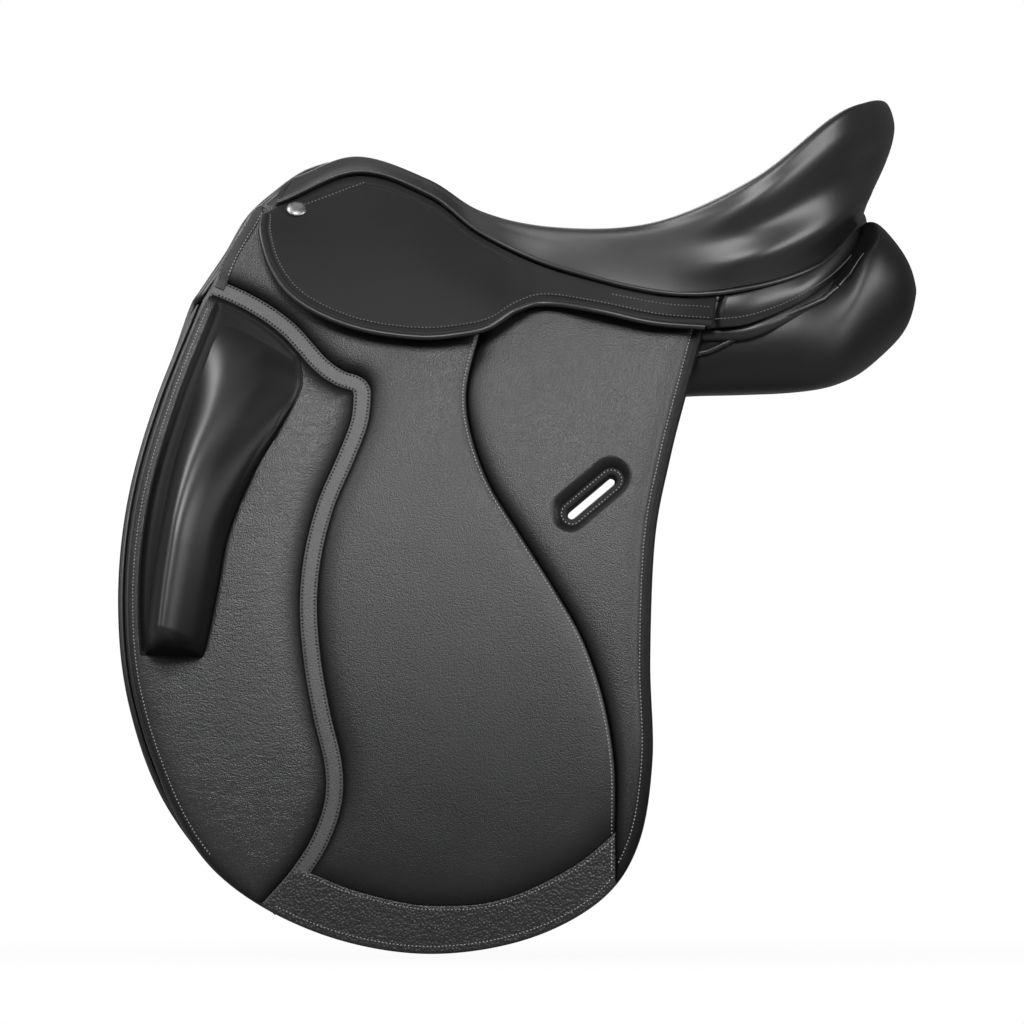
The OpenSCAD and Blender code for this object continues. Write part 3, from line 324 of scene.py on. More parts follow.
OUTLINE, FLAP_LINE = front_edge()
TOP_LINE = even(curve([
    [-236, 80], [CREST_X - 92, HEAD_Z - 71], [CREST_X - 80, HEAD_Z - 51], [CREST_X - 71, HEAD_Z - 37],
    [CREST_X - 61, HEAD_Z - 39], [CREST_X - 46, HEAD_Z - 52], [CREST_X - 17, HEAD_Z - 61],
    [0.7 * CREST_X, HEAD_Z - 78], [0.3 * CREST_X, LOW_Z - 43], [0, LOW_Z - 45],
    [0.24 * CANTLE_X, LOW_Z - 40], [0.44 * CANTLE_X, LOW_Z - 54],
], 200), 2.0)
SEAM = even(curve([
    [-262, 87], [-236, 80], [-206, 66.5], [-181, 49], [-159, 25], [-145, 14.5], [-132.5, 10.0],
    [-128.3, 6.0], [-127.6, 0], [-130, -19], [-140, -45], [-154, -78], [-163, -114], [-166, -150],
    [-163, -189], [-156, -228], [-148, -262], [-148, -289], [-157, -316], [-172, -340], [-190, -361],
    [-212, -384],
], 400), 1.5)
S_LINE = even(curve([
    [-30, 96], [-38, 60], [-44, 40], [-52, 5], [-49, -26], [-36, -62], [-14, -98], [10, -136],
    [31, -173], [46, -216], [54, -262], [54.5, -310], [54.5, -350], [54.5, -376],
], 300), 1.5)
BAND_LINE = even(curve([
    [-196, -322], [-174, -336], [-161, -341], [-133, -352], [-96, -361], [-70, -363],
    [-39, -361], [-9, -352], [27, -333], [55, -310], [70, -297],
], 200), 1.5)
BAND_END = np.array([[-166, -329.5], [-215, -378.5]])
# The flap's edge runs from its highest point at the head, down the front and round to the rear
HEAD = int(TOP_LINE[:, 1].argmax())
EDGE = np.vstack([TOP_LINE[HEAD:0:-1], FLAP_LINE])
EDGE_HEAD, EDGE_FRONT = EDGE[:60], EDGE[:90]
TOP = TOP_LINE[HEAD:]
FOLD_A, FOLD_B = np.array([-241.0, 66.0]), np.array([104.0, -1.0])
SLOT_AT, SLOT_LEN, SLOT_W, SLOT_TURN = np.array([37.5, -71.5]), 44.0, 7.0, math.radians(40)
# Opening over the stirrup bar
WINDOW = np.array([[-148.0, 61], [-120, 56], [-61, 56], [-61, 96], [-160, 85]])
STRIP_HALF = 6.5


def slot_ring(grow):
    """Stadium round the keeper slot, grown by so much."""
    a = np.radians(np.arange(0, 360, 7.5))
    e = np.where(np.cos(a) >= 0, 1, -1) * (SLOT_LEN - SLOT_W) / 2
    q = np.stack([e + (SLOT_W / 2 + grow) * np.cos(a), (SLOT_W / 2 + grow) * np.sin(a)], -1)
    c, s = math.cos(SLOT_TURN), math.sin(SLOT_TURN)
    return even(ringed(SLOT_AT + q @ np.array([[c, s], [-s, c]])), 1.5)[:-1]


class Region:
    """A piece of leather cut to a ring of pattern points, with holes."""

    def __init__(self, ring, holes=(), step=2.0):
        loop = lambda r: even(ringed(r), step)[:-1]
        self.ring = loop(ring)
        self.holes = [loop(h) if len(h) < 12 else h for h in holes]
        self.loops = [self.ring, *self.holes]

    def edge(self, q):
        """Distance of points from the nearest edge of the leather."""
        return np.min([off_line(q, ringed(r)) for r in self.loops], 0)

    def cut(self, insets, step):
        """Points along the edges, on lines inset from them and on a grid inside, joined by triangles."""
        points, bonds, start = [], [], 0
        for r in self.loops:
            points.append(r)
            k = np.arange(len(r))
            bonds.append(np.stack([start + k, start + (k + 1) % len(r)], -1))
            start += len(r)
        for d in insets:
            for r in self.loops:
                t = unit(np.roll(r, -1, 0) - np.roll(r, 1, 0))
                n = np.stack([-t[:, 1], t[:, 0]], -1)
                for q in (r + n * d, r - n * d):
                    points.append(q[self.holds(q) & (self.edge(q) > 0.96 * d)])
        lo, hi = self.ring.min(0), self.ring.max(0)
        x, z = np.meshgrid(np.arange(lo[0], hi[0], step), np.arange(lo[1], hi[1], step * 0.87))
        x = x + (np.arange(len(x)) % 2 * step / 2)[:, None]
        q = np.stack([x.ravel(), z.ravel()], -1)
        points.append(q[self.holds(q) & (self.edge(q) > insets[-1] + 0.6 * step)])
        q = np.vstack(points)
        made = geometry.delaunay_2d_cdt([Vector(v) for v in q], np.vstack(bonds).tolist(), [], 0, 1e-5)
        q = np.array([v[:] for v in made[0]])
        tri = np.array([f for f in made[2]])
        tri = tri[self.holds(q[tri].mean(1))]
        a, b, c = (q[tri[:, k]] for k in range(3))
        turn = (b - a)[:, 0] * (c - a)[:, 1] - (b - a)[:, 1] * (c - a)[:, 0]
        tri = np.where((turn > 0)[:, None], tri[:, ::-1], tri)
        # Slivers that lie along an edge and triangles of no area are left out
        on_edge = (self.edge(q)[tri] < 0.05).all(1)
        return q, tri[np.abs(turn) > np.where(on_edge, 0.01, 1e-7)]

    def holds(self, q):
        """Which points lie in the leather."""
        ok = inside(q, self.ring)
        for h in self.holes:
            ok &= ~inside(q, h)
        return ok


def flap_regions():
    """The flap and the leathers sewn on it, cut along the seam strip, the S seam and the bottom band."""
    front, rear = beside(SEAM, -STRIP_HALF), beside(SEAM, STRIP_HALF)
    tail = len(EDGE) // 3
    whole = np.vstack([EDGE, TOP[:0:-1]])
    a0, k0 = meet(EDGE_FRONT, front)
    a1, k1 = meet(EDGE[tail:], front)
    knee = np.vstack([span(EDGE, a0, a1 + tail), span(front, k1, k0)])
    e0, m0 = meet(EDGE_FRONT, rear)
    m1, b0 = meet(rear[100:], BAND_LINE)
    b1, s1 = meet(BAND_LINE, S_LINE)
    s0, t1 = meet(S_LINE, TOP)
    main = np.vstack([
        span(rear, m0, m1 + 100), span(BAND_LINE, b0, b1), span(S_LINE, s1, s0), span(TOP, t1, 0.0),
        span(EDGE, 0.0, e0)])
    s2, e2 = meet(S_LINE, EDGE)
    b2, _ = meet(BAND_LINE, BAND_END)
    e4, _ = meet(EDGE[tail:], BAND_END)
    band = np.vstack([span(BAND_LINE, b2, b1), span(S_LINE, s1, s2), span(EDGE, e2, e4 + tail)])
    back = np.vstack([span(S_LINE, s0, s2), span(EDGE, e2, len(EDGE) - 1.0), span(TOP, len(TOP) - 1.0, t1)])
    hole = slot_ring(0.0)
    inset = beside(EDGE, 8.5)
    inset = inset[(inset[:, 1] > -187) & (inset[:, 1] < 70) & (inset[:, 0] < -180)]
    behind = beside(SEAM, -STRIP_HALF - 1.0)
    behind = behind[(behind[:, 0] > -233) & (behind[:, 0] < -178) & (behind[:, 1] > 20)]
    patch = np.vstack([inset, curve(BLOCK_REAR, 60) + [1.5, 0], behind[::-1]])
    return {
        "block": Region(patch),
        "flap": Region(whole, [hole, WINDOW]),
        "knee": Region(knee),
        "main": Region(main, [WINDOW]),
        "rear": Region(back, [slot_ring(5.6)]),
        "band": Region(band),
        "patch": Region(slot_ring(7.0), [hole], 1.2),
    }


# Front and rear edge of the knee block, from its lower end up
BLOCK_FRONT = [
    [-283, -185], [-281, -160], [-278, -130], [-272, -92], [-263, -48], [-251, -8], [-238, 32], [-226, 60]]
BLOCK_REAR = [
    [-242, -187], [-238, -172], [-231, -138], [-223, -98], [-206, -57], [-184, -19], [-172, 6], [-174, 30]]
REGIONS = flap_regions()


def rounded(e, r):
    """Height of a quarter-round edge of radius r, as a share, at distance e from the edge."""
    return np.sqrt(np.maximum(0, 1 - (1 - np.minimum(e / r, 1)) ** 2))


def bell(d, reach, power=2):
    """1 at distance 0, falling as the exponential of distance over reach, raised to a power."""
    return np.exp(-(np.abs(d / reach) ** power))


def off_strip(q):
    """Distance of pattern points from the edge of the seam strip."""
    return np.maximum(off_line(q, SEAM) - STRIP_HALF, 0)


def off_slot(q):
    """Distance of pattern points from the edge of the keeper slot."""
    return off_line(q, ringed(slot_ring(0)))


def pad_height(name, q):
    """Outer face of each leather over the flap's inner face: a rounded edge, then padding away from seams."""
    e = REGIONS[name].edge(q)
    puff = bpy.context.scene.saddle_sizes.padding * 1000
    base = OVER_0 + 0.5
    if name in ("knee", "block"):
        block = REGIONS["block"]
        under = np.where(block.holds(q), 1 - 0.75 * ease(block.edge(q) / 5), 1.0)
        swell = puff * (1 - bell(off_strip(q), 6.5, 1)) * (1 - bell(off_line(q, FLAP_LINE), 9, 1)) * under
        height = base + rounded(off_line(q, EDGE), 1.5) + swell
        return height + 0.1 + 0.4 * rounded(e, 1.0) if name == "block" else height
    if name == "main":
        head, s_seam = off_line(q, EDGE_HEAD), off_line(q, S_LINE)
        swell = puff * (1 - bell(off_strip(q), 6.5, 1)) * (1 - bell(off_line(q, BAND_LINE), 9, 1))
        swell *= (1 - 0.55 * bell(s_seam, 5, 1)) * (1 - 0.9 * bell(head, 8, 1))
        return base + 1.4 * rounded(s_seam, 1.6) * rounded(head, 1.5) + swell
    if name == "rear":
        edge = off_line(q, FLAP_LINE)
        swell = puff * (1 - bell(off_line(q, S_LINE), 5.5, 1)) * (1 - 0.95 * bell(edge, 12))
        swell *= 1 - bell(off_slot(q), 9.5, 6)
        return base + 1.6 * rounded(e, 1.6) + swell - 1.3 * bell(edge - 7.4, 1.5)
    if name == "band":
        return OVER_0 + 1.6 + 1.5 * rounded(e, 1.0)
    if name == "patch":
        return OVER_0 - 0.3 + 2.6 * rounded(e, 2.4) - 0.5 * bell(e - 3.0, 0.9)
    return FLAP_T - 1.5 + 1.5 * rounded(e, 1.5)


def painted_leather_shade(name, q):
    """Painted shade, from 0 to 1, beside seams, round the slot's recess, along edges and over the whole block
    flange: there the leather is painted darker and without gloss.
    """
    if name == "knee":
        return np.maximum(0.97 * bell(off_strip(q), 7.5, 1.5), 0.7 * bell(off_line(q, FLAP_LINE), 7))
    if name == "block":
        return np.full(len(q), 0.88)
    if name == "main":
        return np.maximum.reduce([
            0.97 * bell(off_strip(q), 6, 1.5), 0.6 * bell(off_line(q, BAND_LINE), 9),
            0.6 * bell(off_line(q, S_LINE), 1.2)])
    if name == "rear":
        return np.maximum.reduce([
            0.97 * bell(off_line(q, S_LINE), 6.5), 0.9 * bell(off_slot(q), 9, 4),
            0.8 * bell(off_line(q, FLAP_LINE), 8.5, 4)])
    return np.zeros(len(q))


def floor_height(name, q):
    """Inner face of each leather."""
    if name in ("flap", "patch"):
        e = REGIONS[name].edge(q)
        return 1.5 - 1.5 * rounded(e, 1.5) if name == "flap" else -1.2 + 0 * e
    if name == "block":
        return pad_height("knee", q) - 0.3
    return np.full(len(q), OVER_0 - 0.15)


# Meshes


def grid_faces(n, m, loop_n=False, loop_m=False):
    """Quads of an n by m grid of points, closed in either direction if asked."""
    i, j = np.meshgrid(np.arange(n if loop_n else n - 1), np.arange(m if loop_m else m - 1), indexing="ij")
    a, b = (i + 1) % n, (j + 1) % m
    return np.stack([i * m + j, a * m + j, a * m + b, i * m + b], -1).reshape(-1, 4)


def piece(name, points, faces, finish, side=1.0, sharp=50, seam=None):
    """New object from points in millimetres: welded, turned outwards, smooth, mirrored for the left side."""
    points = np.asarray(points, float).reshape(-1, 3) * (0.001, 0.001 * side, 0.001)
    faces = np.asarray(faces)
    mesh = bpy.data.meshes.new(name)
    mesh.vertices.add(len(points))
    mesh.vertices.foreach_set("co", points.ravel())
    mesh.loops.add(faces.size)
    mesh.loops.foreach_set("vertex_index", faces.ravel())
    mesh.polygons.add(len(faces))
    mesh.polygons.foreach_set("loop_start", np.arange(0, faces.size, faces.shape[1]))
    mesh.update(calc_edges=True)
    # The seam attribute holds painted shade, which the finishes mix towards black without gloss
    if seam is not None:
        mesh.attributes.new("seam", "FLOAT", "POINT").data.foreach_set("value", np.asarray(seam, np.float32))
    bm = bmesh.new()
    bm.from_mesh(mesh)
    bmesh.ops.remove_doubles(bm, verts=bm.verts, dist=1e-5)
    bmesh.ops.dissolve_degenerate(bm, edges=bm.edges, dist=1e-7)
    if bm.calc_volume(signed=True) < 0:
        bmesh.ops.reverse_faces(bm, faces=bm.faces)
    bm.to_mesh(mesh)
    bm.free()
    mesh.polygons.foreach_set("use_smooth", np.ones(len(mesh.polygons), bool))
    mesh.set_sharp_from_angle(angle=math.radians(sharp))
    mesh.materials.append(FINISHES[finish])
    made = bpy.data.objects.new(name, mesh)
    bpy.context.scene.collection.objects.link(made)
    return made


def with_mirror(half):
    """Rows of one half, then the same rows mirrored, back from the middle."""
    return np.concatenate([half, half[-2::-1] * FLIP])


def closed(outer, inner, last=True):
    """Points and quads of the solid between two grids, with walls round it, at the last row if asked."""
    n, m = outer.shape[:2]
    quads, size = grid_faces(n, m), n * m
    rim = np.concatenate([
        np.arange(m), np.arange(1, n) * m + m - 1, (n - 1) * m + np.arange(m - 2, -1, -1),
        np.arange(n - 2, 0, -1) * m])
    after = np.roll(rim, -1)
    wall = np.stack([after, rim, rim + size, after + size], -1)
    if not last:
        wall = np.delete(wall, np.arange(n + m - 2, n + 2 * m - 3), 0)
    points = np.concatenate([outer.reshape(-1, 3), inner.reshape(-1, 3)])
    return points, np.concatenate([quads[:, ::-1], quads + size, wall])


def grid_out(p):
    """Direction square to a grid of points."""
    return unit(np.cross(np.gradient(p, axis=0), np.gradient(p, axis=1)))


def clustered(count, tight=0.6):
    """Steps from 0 to 1 that crowd towards both ends."""
    t = np.linspace(0, 1, count)
    return mix(t, 0.5 - 0.5 * np.cos(np.pi * t), tight)


def runs(p, axis):
    """Length along a grid's columns or rows up to each of its points."""
    return np.insert(np.cumsum(np.linalg.norm(np.diff(p, axis=axis), axis=-1), axis), 0, 0, axis)


def leather(p, out, thick, round_rows=(True, True), round_cols=(True, True)):
    """Solid leather under a grid of outer points, its edges rounded over half its thickness where asked."""
    r = thick / 2
    rows, cols = runs(p, 0), runs(p, 1)
    ways = (rows, rows[-1] - rows, cols, cols[:, -1:] - cols)
    e = np.minimum.reduce([d for d, asked in zip(ways, (*round_rows, *round_cols)) if asked])
    sink = (r * (1 - rounded(e, r)))[..., None]
    return closed(p - out * sink, p - out * (thick - sink))


def capped(p):
    """Rings of points with one more at each end, drawn together to its middle."""
    first, last = (np.broadcast_to(ring.mean(1, keepdims=True), ring.shape) for ring in (p[:1], p[-1:]))
    return np.concatenate([first, p, last])


def swept(path, up, profile, loop=False):
    """Profile of points (sideways, upwards) carried along a path, its ends drawn together to points."""
    step = (np.roll(path, -1, 0) - np.roll(path, 1, 0)) if loop else np.gradient(path, axis=0)
    t = unit(step)
    across = unit(np.cross(t, up))
    up = np.cross(across, t)
    profile = np.broadcast_to(profile, (len(path), *np.shape(profile)[-2:]))
    p = path[:, None] + across[:, None] * profile[..., :1] + up[:, None] * profile[..., 1:]
    p = p if loop else capped(p)
    return p.reshape(-1, 3), grid_faces(p.shape[0], p.shape[1], loop, True)


def circle(r, count=16):
    """Round profile; r may be one radius or one for each path point."""
    a = np.arange(count) * 2 * np.pi / count
    ring = np.stack([np.cos(a), np.sin(a)], -1)
    return ring * (r if np.isscalar(r) else np.asarray(r)[:, None, None])


# Lines of points along a leather's edge, by their distance from it; more for the rear leather's groove
EDGE_INSETS = (0.4, 1.0, 2.0, 3.6, 6.0, 9.0)
GROOVE_INSETS = (0.4, 1.0, 2.0, 3.6, 5.2, 6.3, 7.4, 8.5, 10.0)


def cut_leather(name, step):
    """Points, triangles and painted shade of one of the flap's leathers: two faces joined round the edges."""
    q, tri = REGIONS[name].cut(GROOVE_INSETS if name == "rear" else EDGE_INSETS, step)
    # Painted shade in grooves, round recesses and along edges
    dark = painted_leather_shade(name, q)
    top, low = lay(q, pad_height(name, q)), lay(q, floor_height(name, q))
    n = len(q)
    way = np.concatenate([tri[:, [0, 1]], tri[:, [1, 2]], tri[:, [2, 0]]])
    _, first, count = np.unique(np.sort(way, 1), axis=0, return_index=True, return_counts=True)
    a, b = way[first[count == 1]].T
    wall = np.concatenate([np.stack([b, a, a + n], -1), np.stack([b, a + n, b + n], -1)])
    faces = np.concatenate([tri, tri[:, ::-1] + n, wall])
    return np.concatenate([top, low]), faces, np.concatenate([dark, dark])


def stitches(path, up, pitch, length, gauge, sink=0.1):
    """One stitch after another along a path: each a short rounded bar whose ends dip into the leather."""
    run = lengths(path)
    at = np.arange(pitch / 2, run[-1], pitch)
    c = stations(path, at)
    u = unit(np.stack([np.interp(at, run, up[:, k]) for k in range(3)], -1))
    t = unit(stations(path, np.minimum(at + 0.4, run[-1])) - stations(path, np.maximum(at - 0.4, 0)))
    s = unit(np.cross(t, u))
    x = np.array([-1.0, -0.8, -0.3, 0.3, 0.8, 1.0])
    r = gauge * np.array([0.25, 0.75, 1, 1, 0.75, 0.25])
    a = np.arange(6) * np.pi / 3
    along = np.repeat(x * length / 2, 6)
    rise = np.repeat(-sink - gauge * 1.4 * x**4, 6) + np.outer(r, np.sin(a)).ravel()
    wide = np.outer(r, np.cos(a)).ravel()
    p = c[:, None] + t[:, None] * along[:, None] + u[:, None] * rise[:, None] + s[:, None] * wide[:, None]
    quads = grid_faces(6, 6, False, True)
    ends = np.array([[0, 1, 2, 3], [0, 3, 4, 5], [33, 32, 31, 30], [35, 34, 33, 30]])
    base = np.concatenate([quads[:, ::-1], ends[:, ::-1]])
    faces = (base[None] + 36 * np.arange(len(c))[:, None, None]).reshape(-1, 4)
    return p.reshape(-1, 3), faces


def joined(parts):
    """Several sets of points and faces as one."""
    shift = np.cumsum([0] + [len(p) for p, _ in parts])
    return np.concatenate([p for p, _ in parts]), np.concatenate([f + s for (_, f), s in zip(parts, shift)])


# Finishes


class Wire:
    """An output socket on which sums are written as Python expressions."""

    def __init__(self, net, socket):
        self.net, self.socket = net, socket

    def _math(self, operation, a, b):
        return self.net.node("ShaderNodeMath", {"operation": operation}, {0: a, 1: b})

    def __add__(self, other):
        return self._math("ADD", self, other)

    def __radd__(self, other):
        return self._math("ADD", other, self)

    def __sub__(self, other):
        return self._math("SUBTRACT", self, other)

    def __rsub__(self, other):
        return self._math("SUBTRACT", other, self)

    def __mul__(self, other):
        return self._math("MULTIPLY", self, other)

    def __rmul__(self, other):
        return self._math("MULTIPLY", other, self)


class Net:
    """The nodes of one finish, or of the world."""

    def __init__(self, owner):
        self.owner = owner
        owner.use_nodes = True
        self.tree = owner.node_tree
        self.tree.nodes.clear()

    def node(self, kind, settings=None, sockets=None, out=0):
        """New node: its settings first, then the values or links of its sockets. Gives one of its outputs."""
        made = self.tree.nodes.new(kind)
        for key, value in (settings or {}).items():
            if key == "stops":
                ramp = made.color_ramp
                while len(ramp.elements) < len(value):
                    ramp.elements.new(0.5)
                for stop, (at, level) in zip(ramp.elements, value):
                    stop.position = at
                    stop.color = (level, level, level, 1)
            else:
                setattr(made, key, value)
        for key, value in (sockets or {}).items():
            if isinstance(value, Wire):
                self.tree.links.new(value.socket, made.inputs[key])
            else:
                made.inputs[key].default_value = value
        return Wire(self, made.outputs[out]) if len(made.outputs) else None

    def seam(self):
        """Painted shade from the seam attribute: how far the leather is painted black and without gloss."""
        return self.node("ShaderNodeAttribute", {"attribute_name": "seam"}, None, "Fac")

    def place(self):
        """Object coordinates, in metres."""
        return self.node("ShaderNodeTexCoord", out="Object")

    def noise(self, scale, detail=3.0, rough=0.5, warp=0.0, at=None):
        """Cloudy noise from 0 to 1, scale in lumps per metre."""
        sockets = {"Scale": scale, "Detail": detail, "Roughness": rough, "Distortion": warp}
        return self.node("ShaderNodeTexNoise", None, {"Vector": at or self.place(), **sockets}, "Fac")

    def cells(self, scale):
        """Distance from the nearest cell point, cells per metre."""
        return self.node("ShaderNodeTexVoronoi", None, {"Vector": self.place(), "Scale": scale}, "Distance")

    def wave(self, way, scale, warp):
        """Bands from 0 to 1 across one direction."""
        sockets = {"Vector": self.place(), "Scale": scale, "Distortion": warp}
        return self.node("ShaderNodeTexWave", {"bands_direction": way}, sockets, "Fac")

    def ramp(self, value, stops):
        """Value carried through a ramp."""
        return self.node("ShaderNodeValToRGB", {"stops": stops}, {"Fac": value})

    def stretched(self, scale, turn=(0, 0, 0)):
        """Object coordinates stretched and turned."""
        sockets = {"Vector": self.place(), "Scale": scale, "Rotation": turn}
        return self.node("ShaderNodeMapping", None, sockets)

    def tint(self, factor, colour, dark, light):
        """The colour, from so much darker to so much lighter."""
        sockets = {"Factor": factor, 6: (*shade(colour, dark), 1), 7: (*shade(colour, light), 1)}
        return self.node("ShaderNodeMix", {"data_type": "RGBA"}, sockets, 2)

    def bump(self, height, distance, strength):
        """Bumped normal from a height, in metres."""
        sockets = {"Height": height, "Distance": distance, "Strength": strength}
        return self.node("ShaderNodeBump", None, sockets)

    def surface(self, painted_shade_fac=None, **sockets):
        """Ends the finish in one shader, _ for spaces in names: painted shade mixes it towards black without
        gloss by the given factor.
        """
        named = {key.replace("_", " "): value for key, value in sockets.items()}
        shader = self.node("ShaderNodeBsdfPrincipled", None, named)
        if painted_shade_fac is not None:
            # Painted shade: nearly black, rough and almost without gloss
            groove = {"Base Color": (0.003, 0.003, 0.003, 1), "Roughness": 0.8, "Specular IOR Level": 0.08}
            painted_shade_bsdf = self.node("ShaderNodeBsdfPrincipled", None, groove)
            shader = self.node("ShaderNodeMixShader", None, {0: painted_shade_fac, 1: shader, 2: painted_shade_bsdf})
        self.node("ShaderNodeOutputMaterial", None, {"Surface": shader})
        return self.owner


def shade(colour, k):
    """Colour made lighter or darker."""
    return tuple(float(c) * k for c in colour[:3])


def finish_net(name):
    """Nodes of a new material."""
    return Net(bpy.data.materials.new(name))


def grained(name, colour, cell, depth, rough, crease=0.0):
    """Pebbled leather: rounded cells with fine creases between them, a little lighter on the high spots."""
    net = finish_net(name)
    pebble = net.ramp(net.cells(cell), [(0.0, 1), (0.45, 0.5), (0.8, 0)])
    fine = net.noise(cell * 1.7, 2)
    patch = net.noise(22, 4, 0.6)
    wrinkle = net.noise(60, 5, 0.62, 0.6, net.stretched((1, 1, 2.2), (0, 0.5, 0)))
    fold = net.ramp(wrinkle, [(0.42, 0), (0.5, 1), (0.58, 0)])
    # The seam attribute mixes in the painted shade, black without gloss
    return net.surface(
        net.seam(), Base_Color=net.tint(patch * 0.6 + pebble * 0.4, colour, 0.6, 1.3),
        Roughness=rough - 0.1 * pebble + 0.14 * patch,
        Normal=net.bump(pebble + fine * 0.3 + fold * crease, depth, 0.8), Specular_IOR_Level=0.5)


def smooth(name, colour, rough, coat, pore=0.00005, gloss=0.5):
    """Smooth calf: hair pores, faint pull lines and a soft gloss that varies with handling."""
    net = finish_net(name)
    pores = net.ramp(net.cells(1500), [(0.05, 0), (0.3, 1)])
    pull = net.noise(55, 4, 0.55, 0.4, net.stretched((0.6, 1.6, 1.2)))
    patch = net.noise(14, 3, 0.55)
    # The seam attribute mixes in the painted shade, black without gloss
    return net.surface(
        net.seam(), Base_Color=net.tint(patch, colour, 0.8, 1.2),
        Roughness=rough + 0.12 * patch - 0.06 * pull,
        Normal=net.bump(pores * 0.3 + pull * 1.6, pore, 0.9), Specular_IOR_Level=gloss, Coat_Weight=coat,
        Coat_Roughness=0.22)


def thread(name, colour):
    """Waxed thread with its twist."""
    net = finish_net(name)
    twist = net.wave("DIAGONAL", 900.0, 1.5)
    return net.surface(
        Base_Color=net.tint(twist, colour, 0.55, 1.3), Roughness=0.42 + 0.2 * twist,
        Normal=net.bump(twist, 0.0001, 0.6))


def steel(name, colour, rough, brushed):
    """Forged steel with polishing lines and handling smears."""
    net = finish_net(name)
    lines = net.noise(900, 2, 0.5, 0, net.stretched((0.08, 1, 1)))
    smear = net.noise(60, 3)
    return net.surface(
        Base_Color=net.tint(smear, colour, 0.86, 1.08), Metallic=1.0,
        Roughness=rough + brushed * lines + 0.08 * smear, Normal=net.bump(lines, 0.00003, brushed))


def beech(name, colour):
    """Laminated beech: long grain lines and short rays."""
    net = finish_net(name)
    grain = net.noise(240, 4, 0.6, 0.5, net.stretched((0.12, 1, 1)))
    ply = net.wave("Z", 170.0, 0.6)
    return net.surface(
        Base_Color=net.tint(grain * 0.7 + ply * 0.3, colour, 0.6, 1.15), Roughness=0.5 + 0.2 * grain,
        Normal=net.bump(grain, 0.0002, 0.5))


def woven(name, colour, scale):
    """Woven web: crossing ribs."""
    net = finish_net(name)
    cloth = net.wave("X", scale, 0.2) * 0.5 + net.wave("Z", scale, 0.2) * 0.5
    fuzz = net.noise(1500, 2)
    return net.surface(
        Base_Color=net.tint(cloth * 0.7 + fuzz * 0.3, colour, 0.6, 1.1), Roughness=0.8 + 0.1 * fuzz,
        Normal=net.bump(cloth, 0.0003, 0.7))


FINISHES = {}


def length_of(name, text, value, low, high):
    """Length property, in metres."""
    return bpy.props.FloatProperty(
        name=name, description=text, default=value, min=low, max=high, unit="LENGTH")


def colour_of(name, text, value):
    """Colour property."""
    return bpy.props.FloatVectorProperty(
        name=name, description=text, subtype="COLOR", size=3, min=0, max=1, default=value)


class SADDLE_PG_sizes(bpy.types.PropertyGroup):
    """Sizes of the sewn detail."""

    stitch_pitch: length_of("Stitch pitch", "Distance from stitch to stitch", 0.0027, 0.002, 0.006)
    stitch_length: length_of("Stitch length", "Length of thread that shows in a stitch", 0.0019, 0.001, 0.005)
    thread: length_of("Thread radius", "Radius of the thread", 0.0005, 0.0002, 0.001)
    padding: length_of("Padding", "How far the flap's padding swells", 0.0055, 0.0, 0.008)
    binding: length_of("Binding radius", "Radius of the bound edges", 0.0026, 0.001, 0.004)
    block_height: length_of("Block height", "Height of the knee blocks", 0.040, 0.02, 0.046)


class SADDLE_PG_colours(bpy.types.PropertyGroup):
    """Colours of the finishes."""

    calf: colour_of("Seat leather", "Smooth leather of seat, blocks and panels", (0.0075, 0.0075, 0.008))
    skirt: colour_of("Skirt leather", "Matt leather of the skirts", (0.013, 0.013, 0.0133))
    grain: colour_of("Flap leather", "Grained leather of the flaps", (0.01, 0.01, 0.0103))
    coarse: colour_of("Band leather", "Coarse leather of the bottom band", (0.014, 0.014, 0.0143))
    strip: colour_of("Strip leather", "Leather of the seam strip", (0.065, 0.065, 0.066))
    thread: colour_of("Thread", "Thread of the seams", (0.26, 0.26, 0.26))
    wood: colour_of("Tree", "Wood of the tree", (0.2, 0.13, 0.07))
    steel: colour_of("Steel", "Steel of the fittings", (0.5, 0.5, 0.5))
    web: colour_of("Webs", "Woven webs", (0.72, 0.68, 0.58))


class SADDLE_OT_finishes(bpy.types.Operator):
    """Makes the leathers, threads, metals, wood and webs"""

    bl_idname = "saddle.finishes"
    bl_label = "Finishes"

    def execute(self, context):
        c = context.scene.saddle_colours
        FINISHES.update({
            "calf": smooth("calf", c.calf, 0.37, 0.1),
            "skirt": smooth("skirt_leather", c.skirt, 0.46, 0.0, 0.00005, 0.1),
            # The panels' leather is the seat's calf darkened to 0.45, painted shade for the shade the panels
            # lie in under the skirts and flaps
            "panel": smooth("panel_leather", shade(c.calf, 0.45), 0.38, 0, 0.00007, 0.4),
            "grain": grained("flap_leather", c.grain, 1000, 0.0002, 0.34),
            "knee": grained("knee_leather", shade(c.grain, 2.4), 900, 0.00022, 0.31, 0.5),
            "strip": grained("strip_leather", c.strip, 900, 0.0002, 0.45),
            "coarse": grained("band_leather", c.coarse, 500, 0.0005, 0.38, 0.2),
            "inner": grained("inner_leather", shade(c.grain, 0.7), 700, 0.00014, 0.58),
            "binding": smooth("binding_leather", shade(c.calf, 1.2), 0.36, 0.1),
            "strap": smooth("strap_leather", shade(c.skirt, 0.9), 0.42, 0.1),
            "thread": thread("seam_thread", c.thread),
            "dark_thread": thread("strip_thread", shade(c.calf, 0.3)),
            "skirt_thread": thread("skirt_thread", shade(c.thread, 0.34)),
            "wood": beech("laminated_beech", c.wood),
            "steel": steel("forged_steel", c.steel, 0.28, 0.25),
            "polished": steel("polished_steel", shade(c.steel, 0.5), 0.3, 0.08),
            "web": woven("woven_web", c.web, 260.0),
        })
        return {"FINISHED"}


# Pieces


